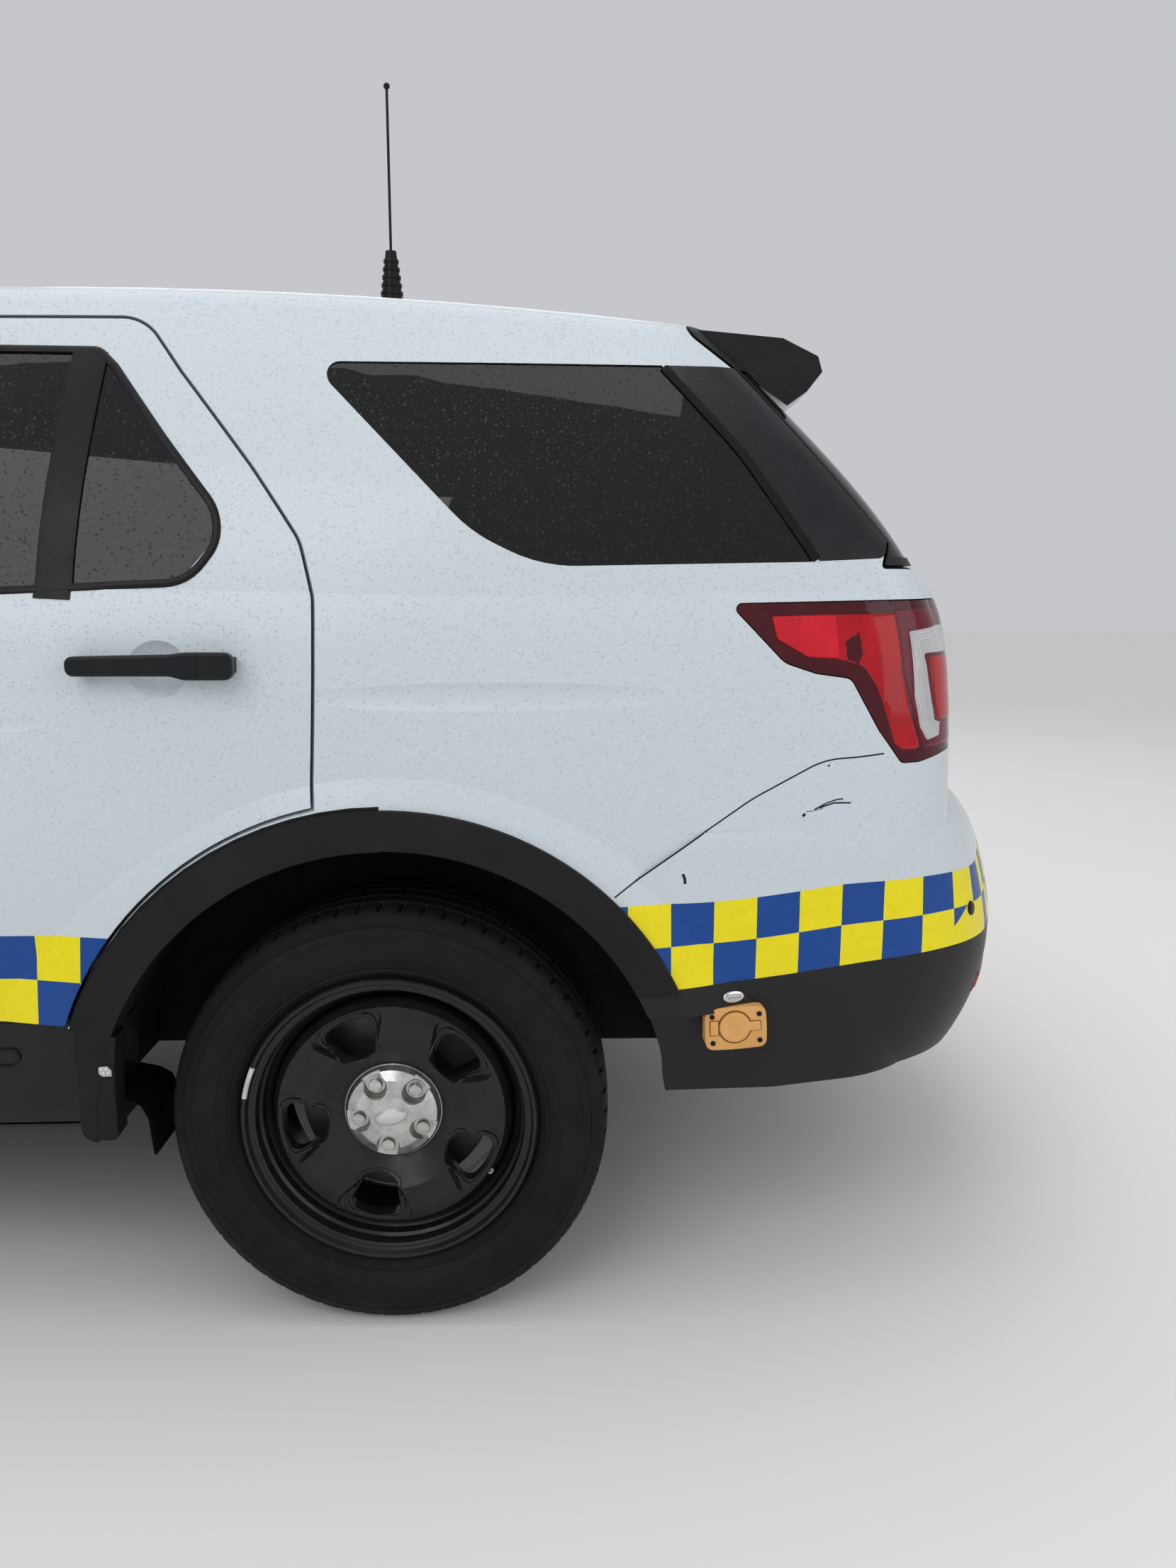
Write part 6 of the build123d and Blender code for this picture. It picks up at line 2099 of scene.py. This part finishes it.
    def _screen(self) -> None:
        """Windscreen seal and the two wipers."""
        f = self.finish
        self.fit.put(Strip("screen_seal", Face.NOSE, metres([(-756, 1262, 0), (-574, 1655, 30),
            (574, 1655, 30), (756, 1262, 0)]), closed=False, width=0.02, height=0.0018, sink=0.006,
            outward=-0.002).build(Skin(self.nodes, ["windscreen"])), f.seal)
        out = Vector((-self.screen_slope, 0.0, 1.0)).normalized()
        for word, pivot, tip in (("left", -0.62, 0.02), ("right", 0.08, 0.66)):
            blade = []
            for i in range(13):
                y = pivot + (tip - pivot) * i / 12
                x = self.cowl_x + 0.03 + 0.012 * math.sin(i / 12 * math.pi)
                blade.append(self._on_screen(x, y) + out * 0.01)
            self.fit.put(MeshKit.tube(f"wiper_blade_{word}", blade, 0.0065, 8), f.seal)
            foot = Vector((-1.168, pivot - 0.04, self._height(self.shelf_heights, pivot - 0.04)))
            arm = [foot, foot + out * 0.022, foot.lerp(blade[6], 0.3) + out * 0.018, foot.lerp(blade[6],
                0.7) + out * 0.012, blade[6]]
            self.fit.put(MeshKit.tube(f"wiper_arm_{word}", arm, 0.0075, 8), f.trim_black)

    def _on_screen(self, x: float, y: float) -> Vector:
        """Point of the screen's foot at a place seen from above."""
        rise = self.screen_slope * (x - self.screen_foot_x)
        return Vector((x, y, self._height(self.screen_heights, y) + rise))

    def _mirrors(self) -> None:
        """Mirror glass and its rim on the rear of each mirror."""
        f = self.finish
        frame = placed((-0.759, -1.06, 1.231)) @ Matrix(((0.0, 0.0, 1.0, 0.0), (1.0, 0.0, 0.0, 0.0),
            (0.0, 1.0, 0.0, 0.0), (0.0, 0.0, 0.0, 1.0)))
        self.fit.both(MeshKit.plate("mirror_rim_left", Shape2.box(0.124, 0.104, 0.022), -0.012, 0.001,
            frame, 0.002), f.trim_black, body="front_door_left")
        self.fit.both(MeshKit.plate("mirror_glass_left", Shape2.box(0.112, 0.092, 0.018), -0.004, 0.0022,
            frame, 0.001), f.mirror, "gloss_black", "front_door_left")


@dataclass
class TailEnd:
    """Blank number plate with its lamps, pull bar, wiper and high lamp of the tailgate."""

    fit: Fitter
    finish: Finishes
    nodes: dict

    def build(self) -> None:
        """Make the tailgate's pieces."""
        f = self.finish
        gate = Skin(self.nodes, ["tailgate"])
        rows = [(-0.3, 0.95, 0.02), (0.3, 0.95, 0.02), (0.33, 1.12, 0.02), (-0.33, 1.12, 0.02)]
        self.fit.put(Strip("plate_recess", Face.TAIL, rows, width=0.01, height=0.0035).build(gate),
            f.trim_black, body="tailgate")
        spot = seat_on(gate, Face.TAIL, 0.0, 1.02)
        self.fit.put(MeshKit.plate("number_plate", Shape2.box(0.305, 0.152, 0.012), -0.002, 0.0045, spot,
            0.001), f.plate, "white_paint", "tailgate")
        for i, x in enumerate((-0.125, 0.125)):
            for j, y in enumerate((-0.062, 0.062)):
                screw = [(0.0, 0.0035), (0.0048, 0.0035), (0.0048, 0.0056), (0.0038, 0.0066), (0.0, 0.0068)]
                self.fit.put(MeshKit.lathe(f"plate_screw_{2 * i + j + 1}", screw,
                    spot @ placed((x, y, 0.0)), 14), f.chrome, "dark_steel", "tailgate")
        self.fit.put(Panel("pull_bar", Face.TAIL, [(-0.42, 1.14, 0.012), (0.42, 1.14, 0.012),
            (0.44, 1.182, 0.012), (-0.44, 1.182, 0.012)], lift=0.01, bevel=0.006, step=0.04).build(gate),
            f.gloss_black, "gloss_black", "tailgate")
        for i, y in enumerate((-0.1, 0.1)):
            self.fit.put(MeshKit.plate(f"plate_lamp_{i + 1}", Shape2.box(0.05, 0.016, 0.005), -0.002, 0.005,
                seat_on(gate, Face.TAIL, y, 1.131), 0.0015), f.lamp_clear, "lamp_clear", "tailgate")
        glass = Skin(self.nodes, ["tailgate_glass"])
        blade = []
        for i in range(13):
            y = -0.19 + 0.38 * i / 12
            place, normal = glass.hit(Face.TAIL, y, 1.345 + 0.03 * abs(y))
            blade.append(place + normal * 0.011)
        self.fit.put(MeshKit.tube("rear_wiper_blade", blade, 0.006, 8), f.seal, body="tailgate")
        foot, out = glass.hit(Face.TAIL, 0.0, 1.306)
        arm = [foot - out * 0.004, foot + out * 0.016, foot.lerp(blade[5], 0.5) + out * 0.018, blade[5]]
        self.fit.put(MeshKit.tube("rear_wiper_arm", arm, 0.0075, 8), f.trim_black, body="tailgate")
        hub = [(0.0, -0.003), (0.019, -0.003), (0.019, 0.012), (0.015, 0.018), (0.0, 0.019)]
        self.fit.put(MeshKit.lathe("rear_wiper_hub", hub, seat_on(glass, Face.TAIL, 0.0, 1.306), 28),
            f.trim_black, body="tailgate")
        spoiler = Skin(self.nodes, ["roof_spoiler"])
        self.fit.put(Panel("high_stop_lamp", Face.TAIL, [(-0.15, 1.642, 0.004), (0.15, 1.642, 0.004),
            (0.15, 1.656, 0.004), (-0.15, 1.656, 0.004)], lift=0.0015, bevel=0.0015, step=0.03).build(
            spoiler), f.lamp_bright, "lamp_red", "tailgate")


@dataclass
class Cabin:
    """Padded seats, the steering wheel's pad and dashboard fittings."""

    fit: Fitter
    finish: Finishes
    seat_x: float = -0.33
    seat_y: float = 0.38
    lean_deg: float = 16.0
    bench_lean_deg: float = 18.0

    def build(self) -> None:
        """Make the cabin's pieces."""
        self._front_seats()
        self._bench()
        self._dashboard()

    def _pad(self, form: PadForm, place: Matrix, node: str) -> None:
        """Make one pad that stands for a seat's solid.

        Args:
            form: The pad's form.
            place: Where its middle goes.
            node: The node that it stands for.
        """
        piece = form.build(place)
        self.fit.put(piece, self.finish.cloth, "seat_fabric")
        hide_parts(node)

    def _front_seats(self) -> None:
        """Two front seats with cushions, backs, head restraints and bases."""
        for side in Side:
            y = side.value * self.seat_y
            word = side.word
            lines = ((1, -0.56), (1, 0.56))
            self._pad(PadForm(f"seat_cushion_{word}", (0.512, 0.49, 0.15), 0.045, 0.018, lines),
                placed((self.seat_x + 0.26, y, 0.68)), "front_seats")
            hinge = placed((self.seat_x + 0.5, y, 0.69)) @ turned(self.lean_deg, "Y")
            self._pad(PadForm(f"seat_back_{word}", (0.122, 0.49, 0.63), 0.045, 0.014, lines),
                hinge @ placed((0.005, 0.0, 0.32)), "front_seats")
            self._pad(PadForm(f"head_restraint_{word}", (0.092, 0.252, 0.18), 0.036, 0.01),
                hinge @ placed((0.0, 0.0, 0.755)), "front_seats")
            for k, shift in enumerate((-0.05, 0.05)):
                path = [hinge @ Vector((0.0, shift, z)) for z in (0.6, 0.64, 0.69)]
                self.fit.put(MeshKit.tube(f"restraint_post_{k + 1}_{word}", path, 0.006, 10),
                    self.finish.chrome, "dark_steel")
            base = MeshKit.plate(f"seat_base_{word}", Shape2.box(0.42, 0.42, 0.02), 0.43, 0.612,
                placed((self.seat_x + 0.27, y, 0.0)), 0.006)
            self.fit.put(base, self.finish.black)
            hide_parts("front_seats")

    def _bench(self) -> None:
        """Rear bench with three places."""
        lines = ((1, -0.34), (1, 0.34))
        self._pad(PadForm("bench_cushion", (0.512, 1.23, 0.15), 0.045, 0.016, lines, 26),
            placed((0.82, 0.0, 0.78)), "rear_seat")
        hinge = placed((1.06, 0.0, 0.8)) @ turned(self.bench_lean_deg, "Y")
        self._pad(PadForm("bench_back", (0.122, 1.23, 0.55), 0.045, 0.014, lines, 26),
            hinge @ placed((0.005, 0.0, 0.28)), "rear_seat")
        base = MeshKit.plate("bench_base", Shape2.box(0.32, 1.16, 0.02), 0.69, 0.722,
            placed((0.9, 0.0, 0.0)), 0.004)
        self.fit.put(base, self.finish.black)
        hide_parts("rear_seat")

    def _dashboard(self) -> None:
        """Screen, vents and the steering wheel's pad."""
        f = self.finish
        tip = turned(63.0, "Y")
        hub = placed((-0.605, -0.37, 0.962)) @ tip
        pad = [(0.0, -0.02), (0.062, -0.02), (0.07, -0.006), (0.068, 0.01), (0.05, 0.024), (0.02, 0.03),
            (0.0, 0.031)]
        self.fit.put(MeshKit.lathe("wheel_pad", pad, hub, 40), f.black)
        screen = placed((-0.716, 0.0, 0.985)) @ turned(66.0, "Y")
        self.fit.put(MeshKit.plate("centre_screen", Shape2.box(0.13, 0.21, 0.012), -0.02, 0.01, screen,
            0.003), f.gloss_black, "gloss_black")
        for i, y in enumerate((-0.52, -0.16, 0.16, 0.52)):
            vent = placed((-0.722, y, 1.0)) @ turned(66.0, "Y")
            self.fit.put(MeshKit.plate(f"air_vent_{i + 1}", Shape2.box(0.06, 0.095, 0.01), -0.02, 0.007,
                vent, 0.002), f.trim_black)


@dataclass
class RoofKit:
    """Lens modules and top covers of the lightbar."""

    fit: Fitter
    finish: Finishes
    modules: int = 9
    white_module: int = 4
    module_pitch: float = 0.12

    def build(self) -> None:
        """Make the roof's pieces."""
        f = self.finish
        for i in range(self.modules):
            y = self.module_pitch * (i - self.modules // 2)
            colour = f.lamp_white if i == self.white_module else f.beacon
            for word, x, flip in (("front", -0.3305, -1.0), ("rear", -0.0495, 1.0)):
                frame = placed((x, y, 1.836)) @ Matrix(((0.0, 0.0, flip, 0.0), (1.0, 0.0, 0.0, 0.0),
                    (0.0, flip, 0.0, 0.0), (0.0, 0.0, 0.0, 1.0)))
                self.fit.put(MeshKit.plate(f"lens_{word}_{i + 1}", Shape2.box(0.108, 0.036, 0.006), -0.004,
                    0.003, frame, 0.0015), colour, "beacon_blue")
        for i, y in enumerate((-0.3, 0.0, 0.3)):
            self.fit.put(MeshKit.plate(f"lightbar_cover_{i + 1}", Shape2.box(0.235, 0.29, 0.02), -0.003,
                0.0025, placed((-0.19, y, 1.872)), 0.002), f.trim_black)


def main() -> None:
    """Build the car's pieces in order."""
    logging.basicConfig(level=logging.INFO, format="%(message)s")
    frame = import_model()
    nodes = frame["nodes"]
    Studio().build()
    finish = Finishes()
    Bodywork(frame, finish).dress()
    fit = Fitter()
    WheelSet(fit, finish, nodes).build()
    TailLampDress(fit, finish, Skin(nodes, ["tail_lamps"])).build()
    BumperDetails(fit, finish, Skin(nodes, ["rear_bumper", "rear_valance"])).build()
    SideTrim(fit, finish, nodes).build()
    FrontEnd(fit, finish, nodes).build()
    TailEnd(fit, finish, nodes).build()
    Cabin(fit, finish).build()
    RoofKit(fit, finish).build()
    LOG.info("%d pieces", fit.count)


if __name__ == "__main__":
    main()
